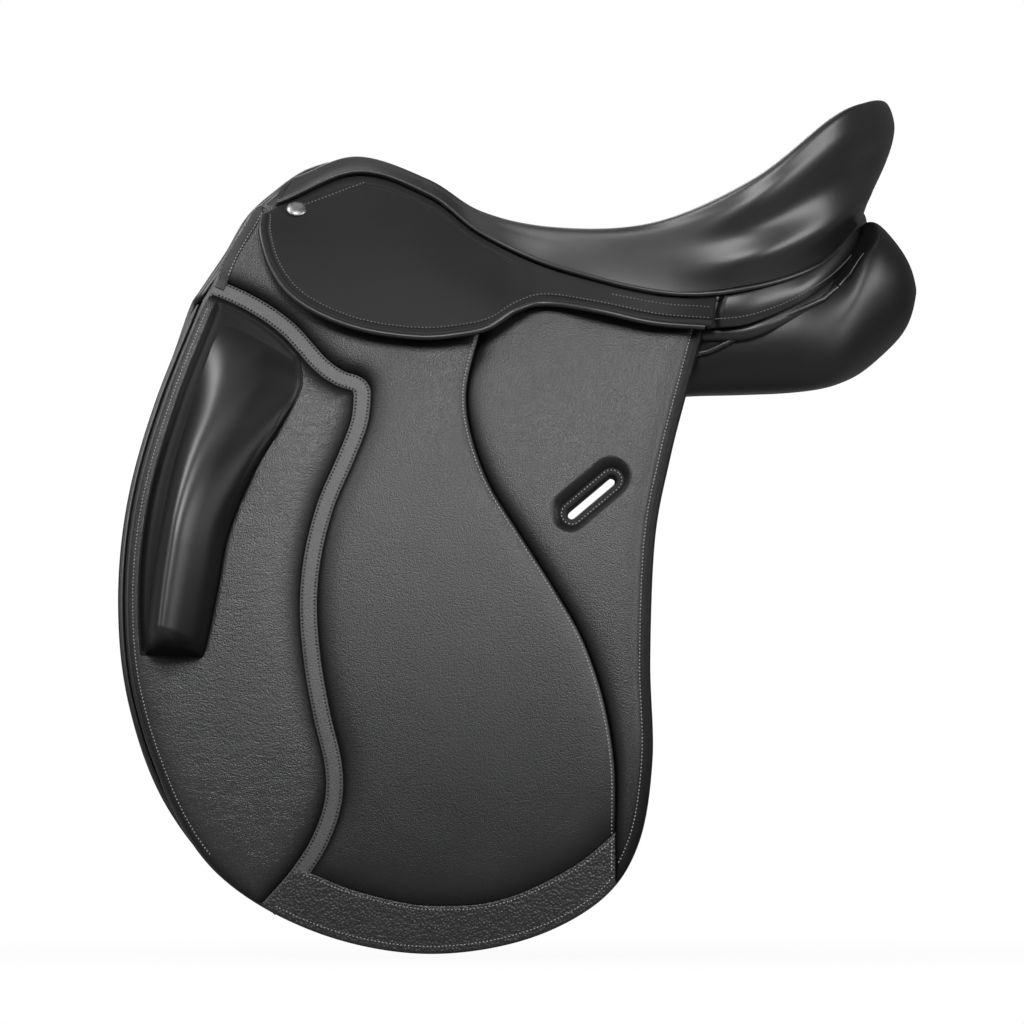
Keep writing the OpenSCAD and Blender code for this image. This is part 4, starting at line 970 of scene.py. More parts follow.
def fold_reach(a, b, out, above, below, sign):
    """Start and end, in metres, of a bend along the line from a to b: so far above and below its middle."""
    down = np.cross(unit(b - a), out)
    down = unit(down if down[2] < 0 else -down)
    middle, metres = (a + b) / 2, np.array([1, sign, 1]) * 0.001
    return (middle - above * down) * metres, (middle + below * down) * metres


def across_fold(made, sign):
    """Bakes the transform of a piece of the flap and works out where a bend along the fold would start and
    end, though nothing uses them.
    """
    a, b = leaf(FOLD_A, OVER_1), leaf(FOLD_B, OVER_1)
    start, end = fold_reach(a, b, leaf_out((FOLD_A + FOLD_B) / 2), 9, 9, sign)
    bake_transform(made)
    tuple(start)
    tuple(end)


def stitch_set(context, paths, heavy=1.0):
    """Stitches along several paths, each a pair of points and outward directions."""
    s = context.scene.saddle_sizes
    pitch, length, gauge = s.stitch_pitch * 1000, s.stitch_length * 1000, s.thread * 1000 * heavy
    return joined([stitches(p, u, pitch, length, gauge) for p, u in paths])


def softened(wide, count, reach):
    """Rows averaged over reach rows on each side by a raised cosine; wide has reach more rows at each end."""
    weight = np.hanning(2 * reach + 3)[1:-1]
    return sum(w * wide[k : k + count] for k, w in enumerate(weight)) / weight.sum()


class SADDLE_OT_seat(bpy.types.Operator):
    """Seat cushion with its leather, and the welt in its seam"""

    bl_idname = "saddle.seat"
    bl_label = "Seat"

    def execute(self, context):
        u, v = np.meshgrid(np.linspace(0, 9, 200), np.linspace(0, 1, 60), indexing="ij")
        both = lambda g: np.concatenate([g, g[:, -2::-1] * FLIP], 1)
        _, _, _, o, _, n = seat_lines(u)
        # In millimetres: full over the seam, drawn in under the rim, fuller at the tip of the cantle
        pull = 4.0 * bell(v - 0.1, 0.05) - 5.5 * bell(v - 0.235, 0.075)
        pull *= ease((u - 5) / 1.3) * ease((8.7 - u) / 0.7)
        tip = 4.2 * ease((u - 7.6) / 1.0) * ease(v / 0.3) * (1 - ease((v - 0.52) / 0.2))
        full = self.eased(seat(u, v) - n * pull[..., None] + o * tip[..., None])
        top, low = both(full), both(seat(u, v, COVER + GAP, 1.0))
        made = piece("seat_cushion", *closed(top, low, False), "calf", sharp=60)
        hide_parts("seat_cover", "seat_foam")
        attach(made, "saddle")
        shape = self.welt()
        for side, sign in SIDES:
            cord = piece(f"{side}_welt_cord", *shape, "calf", sign)
            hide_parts(f"{side}_welt")
            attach(cord, "saddle")
        return {"FINISHED"}

    def welt(self):
        """Round cord carried along the seam, between seat and skirt or facing, tapered at its rear."""
        u = np.linspace(0.05, 7.4, 260)
        w, _, _, _, _, n = seat_lines(u)
        skirt = spline(SKIRT_EDGE, np.interp(u, SKIRT_U, np.arange(10)))
        facing = spline(FACING_LOW, np.interp(u, FACING_U, np.arange(7)))
        low = np.where((u < SKIRT_U[-1])[:, None], skirt, facing)
        path = w + unit(unit(low - w) - 0.8 * n) * (WELT_D / 2 + 1.35)
        return swept(path, -n, circle((WELT_D / 2 - 0.3) * mix(1, 0.3, ease((u - 6.7) / 0.7)), 12))

    def eased(self, p, reach=8):
        """Seat points smoothed over the middle of the cantle, where the two halves meet."""
        wide = np.concatenate([p, p[-2 : -reach - 2 : -1] * FLIP])
        rows = np.arange(len(p) - 2 * reach, len(p))
        soft = softened(wide[len(p) - 3 * reach :], 2 * reach, reach)
        p[rows] = mix(soft, p[rows], ease((len(p) - 1 - rows) / (2 * reach))[:, None, None])
        return p


def out_at(x, z, d):
    """Point on the leaf at (x, z), d outwards."""
    return [x, float(barrel(x, z, d)), z]


LOBE_A = np.array(out_at(CREST_X - 67, HEAD_Z - 39, 15))
LOBE_B = np.array([0.015 * CANTLE_X, mix(TWIST_HALF, SEAT_HALF, 0.78), LOW_Z - 52.5])
LOBE_LOW = np.array([
    LOBE_A,
    out_at(CREST_X - 68, HEAD_Z - 54, SKIRT_OFF - 3),
    out_at(CREST_X - 61, HEAD_Z - 78, SKIRT_OFF - 1),
    out_at(CREST_X - 47, HEAD_Z - 98, SKIRT_OFF),
    out_at(CREST_X - 24, HEAD_Z - 113, SKIRT_OFF),
    out_at(CREST_X + 8, HEAD_Z - 124, SKIRT_OFF),
    out_at(0.65 * CREST_X, HEAD_Z - 129, SKIRT_OFF),
    out_at(0.44 * CREST_X, HEAD_Z - 127, SKIRT_OFF),
    out_at(0.28 * CREST_X, HEAD_Z - 122, SKIRT_OFF + 1),
    out_at(0.13 * CREST_X, HEAD_Z - 109, SKIRT_OFF + 1),
    LOBE_B,
])
FOLD_PTS = np.array([mix(LOBE_A, LOBE_B, s) for s in (0, 0.15, 0.33, 0.5, 0.67, 0.84, 1)])
SKIRT_EDGE = np.vstack([FOLD_PTS, [
    [0.17 * CANTLE_X, mix(TWIST_HALF, SEAT_HALF, 0.92) + 3, LOW_Z - 58],
    [0.33 * CANTLE_X, SEAT_HALF + 5, LOW_Z - 67],
    [0.50 * CANTLE_X, SEAT_HALF + 5, LOW_Z - 71],
]])
SKIRT_U = [0, 0.42, 1.05, 1.8, 2.5, 3.2, 3.85, 4.35, 4.95, 5.55]
FACING_LOW = np.array([
    [0.51 * CANTLE_X, SEAT_HALF + 2, LOW_Z - 71.5],
    [0.60 * CANTLE_X, SEAT_HALF + 2, LOW_Z - 69],
    [0.70 * CANTLE_X, SEAT_HALF - 6, LOW_Z - 60],
    [0.80 * CANTLE_X, 0.87 * SEAT_HALF, LOW_Z - 47],
    [0.885 * CANTLE_X, 0.66 * SEAT_HALF, LOW_Z - 29],
    [0.940 * CANTLE_X, 0.40 * SEAT_HALF, LOW_Z - 10],
    [0.968 * CANTLE_X, 0, LOW_Z + 4],
])
FACING_U = [5.6, 6.0, 6.5, 7.05, 7.65, 8.3, 9]


def skirt_grid(columns, rows):
    """Skirt from the welt over the bend of the lobe to its lower edge: at each column a smooth line."""
    c = columns
    lobe = np.minimum(c, 6)
    w = seat_lines(spline(SKIRT_U, c)[:, 0])[0]
    f = spline(SKIRT_EDGE, c)
    low = spline(np.vstack([LOBE_LOW, SKIRT_EDGE[7:]]), np.where(c < 6, lobe / 6 * 10, c + 4))
    top = w + unit(f - w) * (WELT_D + 0.6)
    near, far = np.linalg.norm(f - top, axis=-1), np.linalg.norm(low - f, axis=-1)
    at = np.clip(near / (near + far), 0.2, 0.8)[:, None]
    off = (f - mix(top, low, at)) * ease((6.0 - c) / 1.2)[:, None]
    off += (3.5 * np.sin(np.pi * lobe / 6) ** 2)[:, None] * leaf_out(f[:, [0, 2]])
    hump = np.sin(np.pi * rows[None] ** (np.log(0.5) / np.log(at)))
    return mix(top[:, None], low[:, None], rows[None, :, None]) + off[:, None] * hump[..., None]


class SADDLE_OT_skirts(bpy.types.Operator):
    """Skirts, each one leather from the welt to the edge of the lobe over the stirrup bar"""

    bl_idname = "saddle.skirts"
    bl_label = "Skirts"

    # The short row of stitches behind the head nail: x and z of its ends
    HEAD_ROW_X, HEAD_ROW_Z = (-174, -126), (140, 158)
    # Pressed lines under the welt; groove and rows of stitches by their distance from the edge
    PRESSED, EDGE_GROOVE, EDGE_ROW, REAR_ROW = (8, 11), 5.2, 7.0, 15.0

    def execute(self, context):
        cols = mix(0.02, 9, clustered(170, 0.5))
        p, out = self.grid(cols, clustered(96, 0.75))
        depth = runs(p, 1)
        line = sum(bell(depth - at, 0.9) for at in self.PRESSED)
        rim = depth[:, -1:] - depth
        reach = ease((cols - 0.9) / 0.5) * ease((5.6 - cols) / 0.8)
        p = p - out * (0.7 * line * reach[:, None] + 0.8 * bell(rim - self.EDGE_GROOVE, 1.1))[..., None]
        inner, way = self.grid(cols, np.linspace(0, 1, 400))
        run, i = runs(inner, 1), np.arange(len(inner))

        def row_at(back, keep):
            """Columns kept of the line so far back from the lower edge, with its outward directions."""
            k = np.array([np.searchsorted(r, max(r[-1] - back, 0)) for r in run]).clip(0, 399)
            return inner[i, k][keep], way[i, k][keep]

        lift = np.interp(inner[..., 0], self.HEAD_ROW_X, self.HEAD_ROW_Z)
        k = np.abs(inner[..., 2] - lift).argmin(1)
        near = (np.abs(inner[i, k, 2] - lift[i, k]) < 0.6) & (inner[i, k, 0] > -171) & (inner[i, k, 0] < -126)
        head = inner[i, k][near], way[i, k][near]
        rim_line, rim_out = inner[2:-4, -1] - 0.5 * SKIRT * way[2:-4, -1], way[2:-4, -1]
        shape = leather(p, out, SKIRT, (True, True), (False, True))
        edge_row = row_at(self.EDGE_ROW, slice(5, -3))
        rear_row = row_at(self.REAR_ROW, (cols > 7.2) & (cols < 8.95))
        sewing = stitch_set(context, [edge_row, rear_row, head])
        bead = swept(rim_line, rim_out, circle(0.5 * SKIRT + 0.1, 12))
        for side, sign in SIDES:
            made = piece(f"{side}_skirt_leather", *shape, "skirt", sign)
            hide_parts(f"{side}_skirt", f"{side}_skirt_lobe")
            sewn = piece(f"{side}_skirt_stitches", *sewing, "skirt_thread", sign)
            edge = piece(f"{side}_skirt_edge", *bead, "binding", sign)
            for x in (made, sewn, edge):
                self.bend(x, side, sign)
        return {"FINISHED"}

    def grid(self, cols, rows):
        """Points of the skirt with their outward directions."""
        p = skirt_grid(cols, rows)
        out = grid_out(p)
        return p, out * np.sign((out * leaf_out(p[..., [0, 2]])).sum(-1, keepdims=True).mean())

    def bend(self, made, side, sign):
        """Bakes the transform of a skirt piece and works out where a bend along the line over the stirrup bar
        would start and end, though nothing uses them.
        """
        start, end = fold_reach(LOBE_A, LOBE_B, leaf_out(LOBE_A[[0, 2]]), 4, 14, sign)
        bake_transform(made)
        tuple(start)
        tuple(end)


class SADDLE_OT_cantle(bpy.types.Operator):
    """Facing round the cantle and the roll under it"""

    bl_idname = "saddle.cantle"
    bl_label = "Cantle facing"

    # Leathers, radius of the roll, and its line: a first point, then the facing's lower edge moved by so much
    FACING_T, BAND_T, ROLL_R = 3.0, 2.0, 6.4
    ROLL_FRONT = [[92, 116, 40]]
    ROLL_OFF = np.array([
        [-8, -16, -5], [0, -9, -5], [0, -5, -5], [0, -3, -5], [1, -3, -4], [0, -2, -2.5], [0, 0, -2.5]])

    def execute(self, context):
        s, t = np.linspace(-0.25, 6, 130), clustered(24, 0.7)
        w = seat_lines(spline(FACING_U, s)[:, 0])[0]
        low = spline(FACING_LOW, s, True)
        tuck = (1 - ease((s + 0.05) / 0.3))[:, None] * np.array([0, -5.0, 0])
        w, low = w + tuck, low + tuck
        top = w + unit(low - w) * mix(WELT_D + 1.2, 0.2, ease((s - 2.2) / 0.9))[:, None]
        p = with_mirror(mix(top[:, None], low[:, None], t[None, :, None]))
        out = grid_out(p)
        out *= np.sign((out * (p - [100.0, 0, 90])).sum(-1).mean())
        full = mix(1.0, 2.6, ease(np.abs(p[:, 0, 1]) / 70))
        p = p - (1.6 * (1 - ease(np.abs(p[:, 0, 1]) / 50)))[:, None, None] * np.array([1.0, 0, 0])
        p = p + out * full[:, None, None] * np.sin(np.pi * t)[None, :, None]
        made = piece("cantle_leather", *leather(p, out, self.FACING_T, (True, True), (False, True)), "calf")
        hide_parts("cantle_facing")
        path = with_mirror(mix(top, low, 0.72)) + out[:, 12] * 2.6
        paths = [(path[part], out[part, 12]) for part in (slice(3, 110), slice(-110, -3))]
        sewn = piece("cantle_stitches", *stitch_set(context, paths), "skirt_thread")
        line = np.vstack([self.ROLL_FRONT, FACING_LOW + self.ROLL_OFF])
        h = with_mirror(spline(line, np.linspace(0, 7, 120), True))
        r = self.ROLL_R * np.concatenate([np.linspace(1, 0.8, 120), np.linspace(0.8, 1, 119)])
        roll = piece("cantle_roll", *swept(h, np.broadcast_to([0, 0, 1.0], h.shape), circle(r, 20)), "calf")
        band = self.band(h[8:112])
        for side, sign in SIDES:
            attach(piece(f"{side}_panel_band", *band, "skirt", sign), "saddle")
        for x in (made, sewn, roll):
            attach(x, "saddle")
        return {"FINISHED"}

    def band(self, roll):
        """Leather from the roll straight down to the panel's seam, swelling outwards between them."""
        t = np.linspace(0, 1, 14)
        p = mix((roll - [0, 3, 2])[:, None], panel_seam(roll[:, 0])[0][:, None], t[None, :, None])
        out = grid_out(p)
        out *= np.sign(out[..., 1].mean())
        return leather(p + out * (3.0 * np.sin(np.pi * t))[None, :, None], out, self.BAND_T)


class SADDLE_OT_front_arch(bpy.types.Operator):
    """Roll and facing on the front arch"""

    bl_idname = "saddle.front_arch"
    bl_label = "Front arch"

    # Leather of cover and facing, and the facing's lower edge from one side to the middle
    LEATHER_T = 2.5
    FACE_LOW = np.array([
        [CREST_X - 64, 37, HEAD_Z - 53], [CREST_X - 48, 28, HEAD_Z - 45], [CREST_X - 35, 15, HEAD_Z - 37],
        [CREST_X - 30, 0, HEAD_Z - 34]])

    def execute(self, context):
        line = np.array([
            out_at(-242.5, 77.5, -GAP - ROLL_D / 2),
            out_at(CREST_X - 91, HEAD_Z - 71, -GAP - ROLL_D / 2 - 0.5),
            out_at(CREST_X - 75, HEAD_Z - 44, -GAP - ROLL_D / 2 - 3),
            [CREST_X - 53.5, 0.84 * HEAD_HALF, HEAD_Z - 24.5],
            [CREST_X - 36.5, 0.56 * HEAD_HALF, HEAD_Z - 12.5],
            [CREST_X - 20.5, 0, HEAD_Z - 6.5],
        ])
        tail = np.array([out_at(-263.5, 32, -9.9), out_at(-251, 66, -8.5)])
        h = spline(np.vstack([tail, line]), np.linspace(0, 7, 160), True)
        path = with_mirror(h)
        ahead = np.broadcast_to([-1.0, 0, 0.3], path.shape)
        r = mix(1.4, ROLL_D / 2 - 0.1, ease(np.linspace(0, 7, 160) / 3.0))
        roll = piece("front_roll", *swept(path, ahead, circle(np.concatenate([r, r[-2::-1]]), 20)), "calf")
        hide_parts("pommel_roll")
        v, t = np.linspace(0, 1, 80), clustered(20, 0.6)
        rear = seat(np.zeros_like(v), v)
        rear[0] = mix(rear[0], LOBE_A, 0.4)
        fore = spline(line[2:], 3 * v, True)
        p = with_mirror(mix(rear[:, None], fore[:, None], t[None, :, None]))
        out = grid_out(p)
        out *= np.sign(out[..., 2].mean())
        p = p + out * (2.0 * np.sin(np.pi * t) - 0.4)[None, :, None]
        cover = piece("head_cover", *leather(p, out, self.LEATHER_T), "skirt")
        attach(cover, "saddle")
        s, t = np.linspace(0, 3, 60), clustered(16, 0.7)
        top, low = spline(line[2:], 3 - s, True), spline(self.FACE_LOW, 3 - s, True)
        half = mix((top + unit(low - top) * (ROLL_D / 2 - 1))[:, None], low[:, None], t[None, :, None])
        p = np.concatenate([half[:0:-1] * FLIP, half])
        out = grid_out(p)
        out *= np.sign(-out[..., 0].mean())
        face = piece("front_face", *leather(p, out, self.LEATHER_T), "skirt")
        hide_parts("front_facing")
        for x in (roll, face):
            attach(x, "saddle")
        return {"FINISHED"}


class SADDLE_OT_flaps(bpy.types.Operator):
    """Flaps: the leaf, the padded leathers on it, strip, band, bound edges and all their stitching"""

    bl_idname = "saddle.flaps"
    bl_label = "Flaps"

    # Pattern, piece, finish, grid step and solids replaced of each leather
    LEATHERS = (
        ("flap", "flap_leaf", "inner", 5.0, ("flap", "flap_top")),
        ("knee", "knee_leather", "knee", 3.0, ("knee_panel",)),
        ("main", "main_leather", "grain", 3.0, ("main_panel",)),
        ("rear", "rear_leather", "grain", 3.0, ("rear_panel",)),
        ("band", "band_leather", "coarse", 3.0, ("bottom_band",)),
        ("block", "block_flange", "calf", 3.0, ()),
        ("patch", "slot_binding", "skirt", 2.0, ("slot_patch",)),
    )
    # Rows of stitches, by their distance from the seam or edge that they follow
    STRIP_ROW, S_ROW, BAND_ROW, EDGE_ROW, REAR_ROW, SLOT_ROW, HEAD_ROW = 2.1, 2.6, 3.0, 5.0, 7.2, 4.0, 8.2

    def execute(self, context):
        cut = {key: cut_leather(key, step) for key, _, _, step, _ in self.LEATHERS}
        bright, dark = self.seams()
        sewn = (
            ("strip_leather", "strip", self.strip()),
            ("flap_binding", "binding", self.bound_edge(context.scene.saddle_sizes.binding * 1000)),
            ("head_strip", "inner", self.head_strip()),
            ("flap_stitches", "thread", stitch_set(context, bright)),
            ("strip_stitches", "dark_thread", stitch_set(context, dark, 1.5)),
        )
        for side, sign in SIDES:
            made = []
            for key, name, finish, _, nodes in self.LEATHERS:
                points, faces, painted_shade = cut[key]
                # Each leather takes its painted shade as the seam attribute
                x = piece(f"{side}_{name}", points, faces, finish, sign, 40, painted_shade)
                if nodes:
                    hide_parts(*[f"{side}_{n}" for n in nodes])
                made.append(x)
            for name, finish, shape in sewn:
                x = piece(f"{side}_{name}", *shape, finish, sign)
                if name == "strip_leather":
                    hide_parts(f"{side}_seam_strip")
                made.append(x)
            for x in made:
                across_fold(x, sign)
        return {"FINISHED"}

    def strip_ends(self):
        """Where the knee seam crosses the flap's edge, at its top and bottom, in points of the seam."""
        return meet(SEAM, EDGE_FRONT)[0], meet(SEAM[200:], FLAP_LINE[100:])[0] + 200

    def strip(self):
        """Ribbon carried along the knee seam: flat top, rounded edges."""
        line = span(SEAM, *self.strip_ends())[1:-1]
        w = STRIP_HALF - 0.2
        half = np.array([[w, 0], [w, 1.0], [w - 0.3, 1.5], [w - 1.0, 1.8], [w * 0.4, 1.95]])
        profile = np.concatenate([half, half[::-1] * [-1, 1]])
        return swept(lay(line, np.full(len(line), OVER_0 + 0.2)), leaf_out(line), profile)

    def bound_edge(self, r):
        """Round binding along the edge of the flap, fuller at the front."""
        line = beside(EDGE, 1.4)[1:-3]
        s = np.interp(np.arange(len(EDGE)), [HEAD, len(EDGE)], [0, EDGE_PLACES])[1:-3]
        k = mix(r, 1.7, ease((s - 22) / 8))
        k[:8] *= np.linspace(0.5, 1, 8)
        profile = circle(1.0, 14)[None] * k[:, None, None] * np.array([1.0, 1.15])
        return swept(lay(line, np.full(len(line), 2.6)), leaf_out(line), profile)

    def head_strip(self):
        """Flat strip inside the front edge, from the head down to the seam strip."""
        inside_edge = beside(EDGE, 5.6)
        line = span(inside_edge, 0.0, meet(inside_edge[:90], SEAM)[0])
        profile = np.array([[3.6, 0], [3.6, 1.0], [3.0, 1.5], [0, 1.7], [-3.0, 1.5], [-3.6, 1.0], [-3.6, 0]])
        return swept(lay(line, pad_height("main", line) - 0.4), leaf_out(line), profile)

    def seams(self):
        """Paths of the light and the dark stitches."""
        off = STRIP_HALF - self.STRIP_ROW
        front, rear = beside(SEAM, -off), beside(SEAM, off)
        strip = lambda line: (lay(line, np.full(len(line), OVER_0 + 2.1)), leaf_out(line))
        top, low = self.strip_ends()
        dark = [strip(span(line, top + 4, low - 8)) for line in (front, rear)]

        def on(name, line, lift=0.0):
            """Line laid on the outer face of a leather, with its outward directions."""
            return lay(line, pad_height(name, line) + lift), leaf_out(line)

        s0 = meet(S_LINE, BAND_LINE)[0]
        main = beside(S_LINE, -self.S_ROW)
        main = main[(main[:, 1] < 66)][: int(s0)]
        b0, b1 = meet(BAND_LINE, BAND_END)[0], meet(BAND_LINE, S_LINE)[0]
        band = beside(span(BAND_LINE, b0, b1), -self.BAND_ROW)[3:-3]
        tail = beside(FLAP_LINE, self.EDGE_ROW)
        tail = tail[(tail[:, 0] > -190) & (tail[:, 0] < 53) & (tail[:, 1] < -330)]
        back = beside(FLAP_LINE, self.REAR_ROW)
        back = back[(back[:, 0] > 56) & (back[:, 1] > -352)]
        ahead = beside(FLAP_LINE, self.EDGE_ROW)[2 : int(len(FLAP_LINE) * 0.37)]
        head = beside(EDGE, self.HEAD_ROW)
        head = span(head, 2.0, meet(head[:90], SEAM)[0] - 4)
        bright = [
            on("main", main), on("band", band), on("band", tail), on("rear", back, 0.3),
            on("patch", ringed(slot_ring(self.SLOT_ROW)), 0.2), on("main", head, 1.0),
            on("knee", ahead[REGIONS["knee"].holds(ahead)], 0.05)]
        return bright, dark


class SADDLE_OT_knee_blocks(bpy.types.Operator):
    """Knee blocks: padded ridges on the flaps, steep towards the rider's leg"""

    bl_idname = "saddle.knee_blocks"
    bl_label = "Knee blocks"

    # Length, length of the rounded lower end, and the factor that brings the profile's peak near full height
    LENGTH, END_ROUND, PROFILE_GAIN = 245, 24, 1.2

    def execute(self, context):
        t, s = np.meshgrid(clustered(130, 0.35), clustered(64, 0.35), indexing="ij")
        q = mix(spline(BLOCK_FRONT, 7 * t), spline(BLOCK_REAR, 7 * t), s[..., None])
        from_end = t * self.LENGTH / self.END_ROUND
        end = np.sqrt(1 - (1 - np.minimum(from_end, 1)) ** 2.2)
        front = 1 - (1 - np.minimum(s / 0.56, 1)) ** 3.2
        rear = (1 - 0.6 * s**1.25) * np.sqrt(np.maximum(1 - s**14, 0))
        height = context.scene.saddle_sizes.block_height * 1000 * self.PROFILE_GAIN
        rise = height * front * rear * (1 - ease((t - 0.36) / 0.64)) * end
        base = pad_height("block", q.reshape(-1, 2)).reshape(t.shape)
        top, low = lay(q, base - 0.2 + rise), lay(q, base - 1.6)
        # Painted shade: the rear slope, the upper rear part and the lower end of the block are painted dark
        # and without gloss, where they turn from the lamps
        dark = 0.9 * np.maximum.reduce([
            ease((t - 0.6) / 0.35) * ease((s - 0.2) / 0.4), ease((t - 0.78) / 0.2),
            0.85 * ease((s - 0.4) / 0.25), 1 - ease(from_end)]).ravel()
        painted_block_shade = np.concatenate([dark, dark])
        for side, sign in SIDES:
            made = piece(f"{side}_block_cushion", *closed(top, low), "calf", sign, 70, painted_block_shade)
            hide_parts(f"{side}_knee_block")
            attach(made, f"{side}_flap")
        return {"FINISHED"}


class SADDLE_OT_sweat_flaps(bpy.types.Operator):
    """Sweat flaps with their bound front edge"""

    bl_idname = "saddle.sweat_flaps"
    bl_label = "Sweat flaps"

    BEAD_R = 2.7

    def execute(self, context):
        front = OUTLINE[: int(len(OUTLINE) * 27 / EDGE_PLACES)]
        front = front[front[:, 1] > -335]
        inner = curve([
            front[-1], [-207, -352], [-176, -359], [-140, -350], [-104, -326], [-70, -292], [-30, -205],
            [-10, -100], [0, -10]], 80)[2:]
        head = [[CREST_X - 44, 44], [front[0][0] + 16, front[0][1]]]
        region = Region(np.vstack([head, front, inner, [[0, 44]]]), (), 2.5)
        q, tri = region.cut((0.5, 1.2, 2.4), 5.0)
        e = region.edge(q)
        # The two faces meet at the edge, so a triangle with all its points there would have no thickness
        tri = tri[(e[tri] > 0.1).any(1)]
        r = np.where(e > 0.1, 2 * rounded(e, 2.0), 0)
        middle = (SWEAT_0 + SWEAT_1) / 2
        sides = np.concatenate([tri, tri[:, ::-1] + len(q)])
        points = np.concatenate([lay(q, middle + r), lay(q, middle - r)])
        inset = np.interp(front[:, 1], [-330, -130, -20], [4.0, 2.0, 0.5])
        bead = np.vstack([[[-236, 88], [-243, 80]], beside(front, inset[:, None])])
        k = self.BEAD_R * ease(np.linspace(1, 0, len(bead)) * 9 + 0.3)
        profile = circle(1.0, 14)[None] * k[:, None, None] * np.array([1.0, 1.1])
        binding = swept(lay(bead, np.full(len(bead), middle + 0.6)), leaf_out(bead), profile)
        for side, sign in SIDES:
            made = piece(f"{side}_sweat_leather", points, sides, "inner", sign)
            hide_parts(f"{side}_sweat_flap")
            edge = piece(f"{side}_sweat_binding", *binding, "binding", sign)
            for x in (made, edge):
                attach(x, "saddle")
        return {"FINISHED"}


# Front of the panel: x, inner edge, half width, middle height, half height, lean
PANEL_FRONT = np.array([
    [CREST_X - 101, 30, 5, 62, 12, 1.5], [CREST_X - 87, 14, 15, 71, 27, 1.4],
    [CREST_X - 57, 2, 24, 70, 29, 1.3], [CREST_X - 7, 0, 24.5, 58, 25, 1.2],
    [0.31 * CREST_X, 3, 41.3, 45, 26, 0.95], [0.244 * CANTLE_X, 8, 46, 33, 23, 0.56],
    [0.53 * CANTLE_X, 12, 48, 38, 33.5, 0.1],
])
# Rear of the panel: share of the cantle's x, inner edge, half width, top, bottom, lean
PANEL_REAR = np.array([
    [0.732, 10, 50.5, 81, 6.5, 0.13], [0.80, 9.3, 50.5, 87, 10.5, 0.27], [0.86, 8.7, 50, 96, 14.5, 0.34],
    [0.905, 8.3, 48, 110, 18, 0.33], [0.94, 8, 45.6, 126, 21, 0.27], [0.97, 8, 43.5, 133, 26, 0.2],
    [1.0, 8.6, 40.4, 126, 32.5, 0.14], [1.034, 11, 35.8, 117, 39.5, 0.08],
    [1.064, 14.5, 30, 107.5, 47.5, 0.01], [1.084, 19.5, 23, 98.5, 56.5, 0], [1.096, 25, 15, 90, 66.5, 0],
    [1.1025, 33, 4, 81, 77, 0],
])
# Height of the panel's upper seam along it
SEAM_RISE = np.array([[60, 122, 139, 173, 204, 224, 235, 250], [20, 35, 43, 58, 72, 90, 106, 118]])


def evened(table, step, reach):
    """Rows of a table at even steps, each smoothed over its neighbours."""
    rows = even(table, step)
    wide = np.pad(rows, ((reach, reach), (0, 0)), mode="reflect", reflect_type="odd")
    return softened(wide, len(rows), reach)


def panel_rows():
    """Sections of the whole panel, in the front table's columns."""
    x, inner, half, top, bottom, lean = PANEL_REAR.T
    rear = np.stack([x * CANTLE_X, inner, half, (top + bottom) / 2, (top - bottom) / 2, lean], -1)
    return evened(np.vstack([PANEL_FRONT, rear]), 4.0, 5)


PANEL = panel_rows()


def panel_point(s, a):
    """Panel: rounded-square sections, leaning with the horse's back, carried from the front to the rear."""
    q = spline(PANEL, s)
    c = np.sign(np.cos(a)) * np.abs(np.cos(a)) ** 0.9
    e = np.sign(np.sin(a)) * np.abs(np.sin(a)) ** 0.9
    k = mix(1.45, 0.85, ease((q[..., 0] - 185) / 45))
    y = GULLET / 2 + q[..., 1] + q[..., 2] * (k + np.where(c > 0, 2 - k, k) * c)
    return np.stack([q[..., 0], y, q[..., 3] + q[..., 4] * e - q[..., 5] * q[..., 2] * c], -1)


def drawn_in(p):
    """Panel points with those over the seam drawn in, so that they lie under the band over the seam."""
    over = p[..., 2] - np.interp(p[..., 0], *SEAM_RISE)
    x = np.linspace(70, 246, 90)
    y = np.interp(p[..., 0], x, panel_seam(x)[0][:, 1])
    slope = np.interp(p[..., 0], [100, 180, 205, 232, 250], [0.2, 0.7, 1.3, 2.6, 1.2])
    limit = np.maximum(y + 0.5 - slope * over, GULLET / 2 + 20)
    drawn = (over > 0) & (p[..., 0] > 70) & (p[..., 0] < 250)
    p = p.copy()
    p[..., 1] = np.where(drawn, np.minimum(p[..., 1], limit), p[..., 1])
    return p


def panel_seam(x):
    """Seam on the panel's outer side, with its outward direction: where the panel has the seam's height."""
    places = np.linspace(0, len(PANEL) - 1, 900)
    s = np.interp(x, spline(PANEL, places)[:, 0], places)
    ring = panel_point(*np.meshgrid(s, np.linspace(-0.4 * np.pi, 0.62 * np.pi, 300), indexing="ij"))
    want = np.interp(x, *SEAM_RISE)
    k, i = np.abs(ring[..., 2] - want[:, None]).argmin(1), np.arange(len(x))
    seam = ring[i, k]
    seam[1:-1] = (seam[:-2] + 2 * seam[1:-1] + seam[2:]) / 4
    up = unit(np.cross(np.gradient(ring, axis=0), np.gradient(ring, axis=1))[i, k])
    return seam, up * np.sign((up * (seam - [60, 90, 45])).sum(-1, keepdims=True))


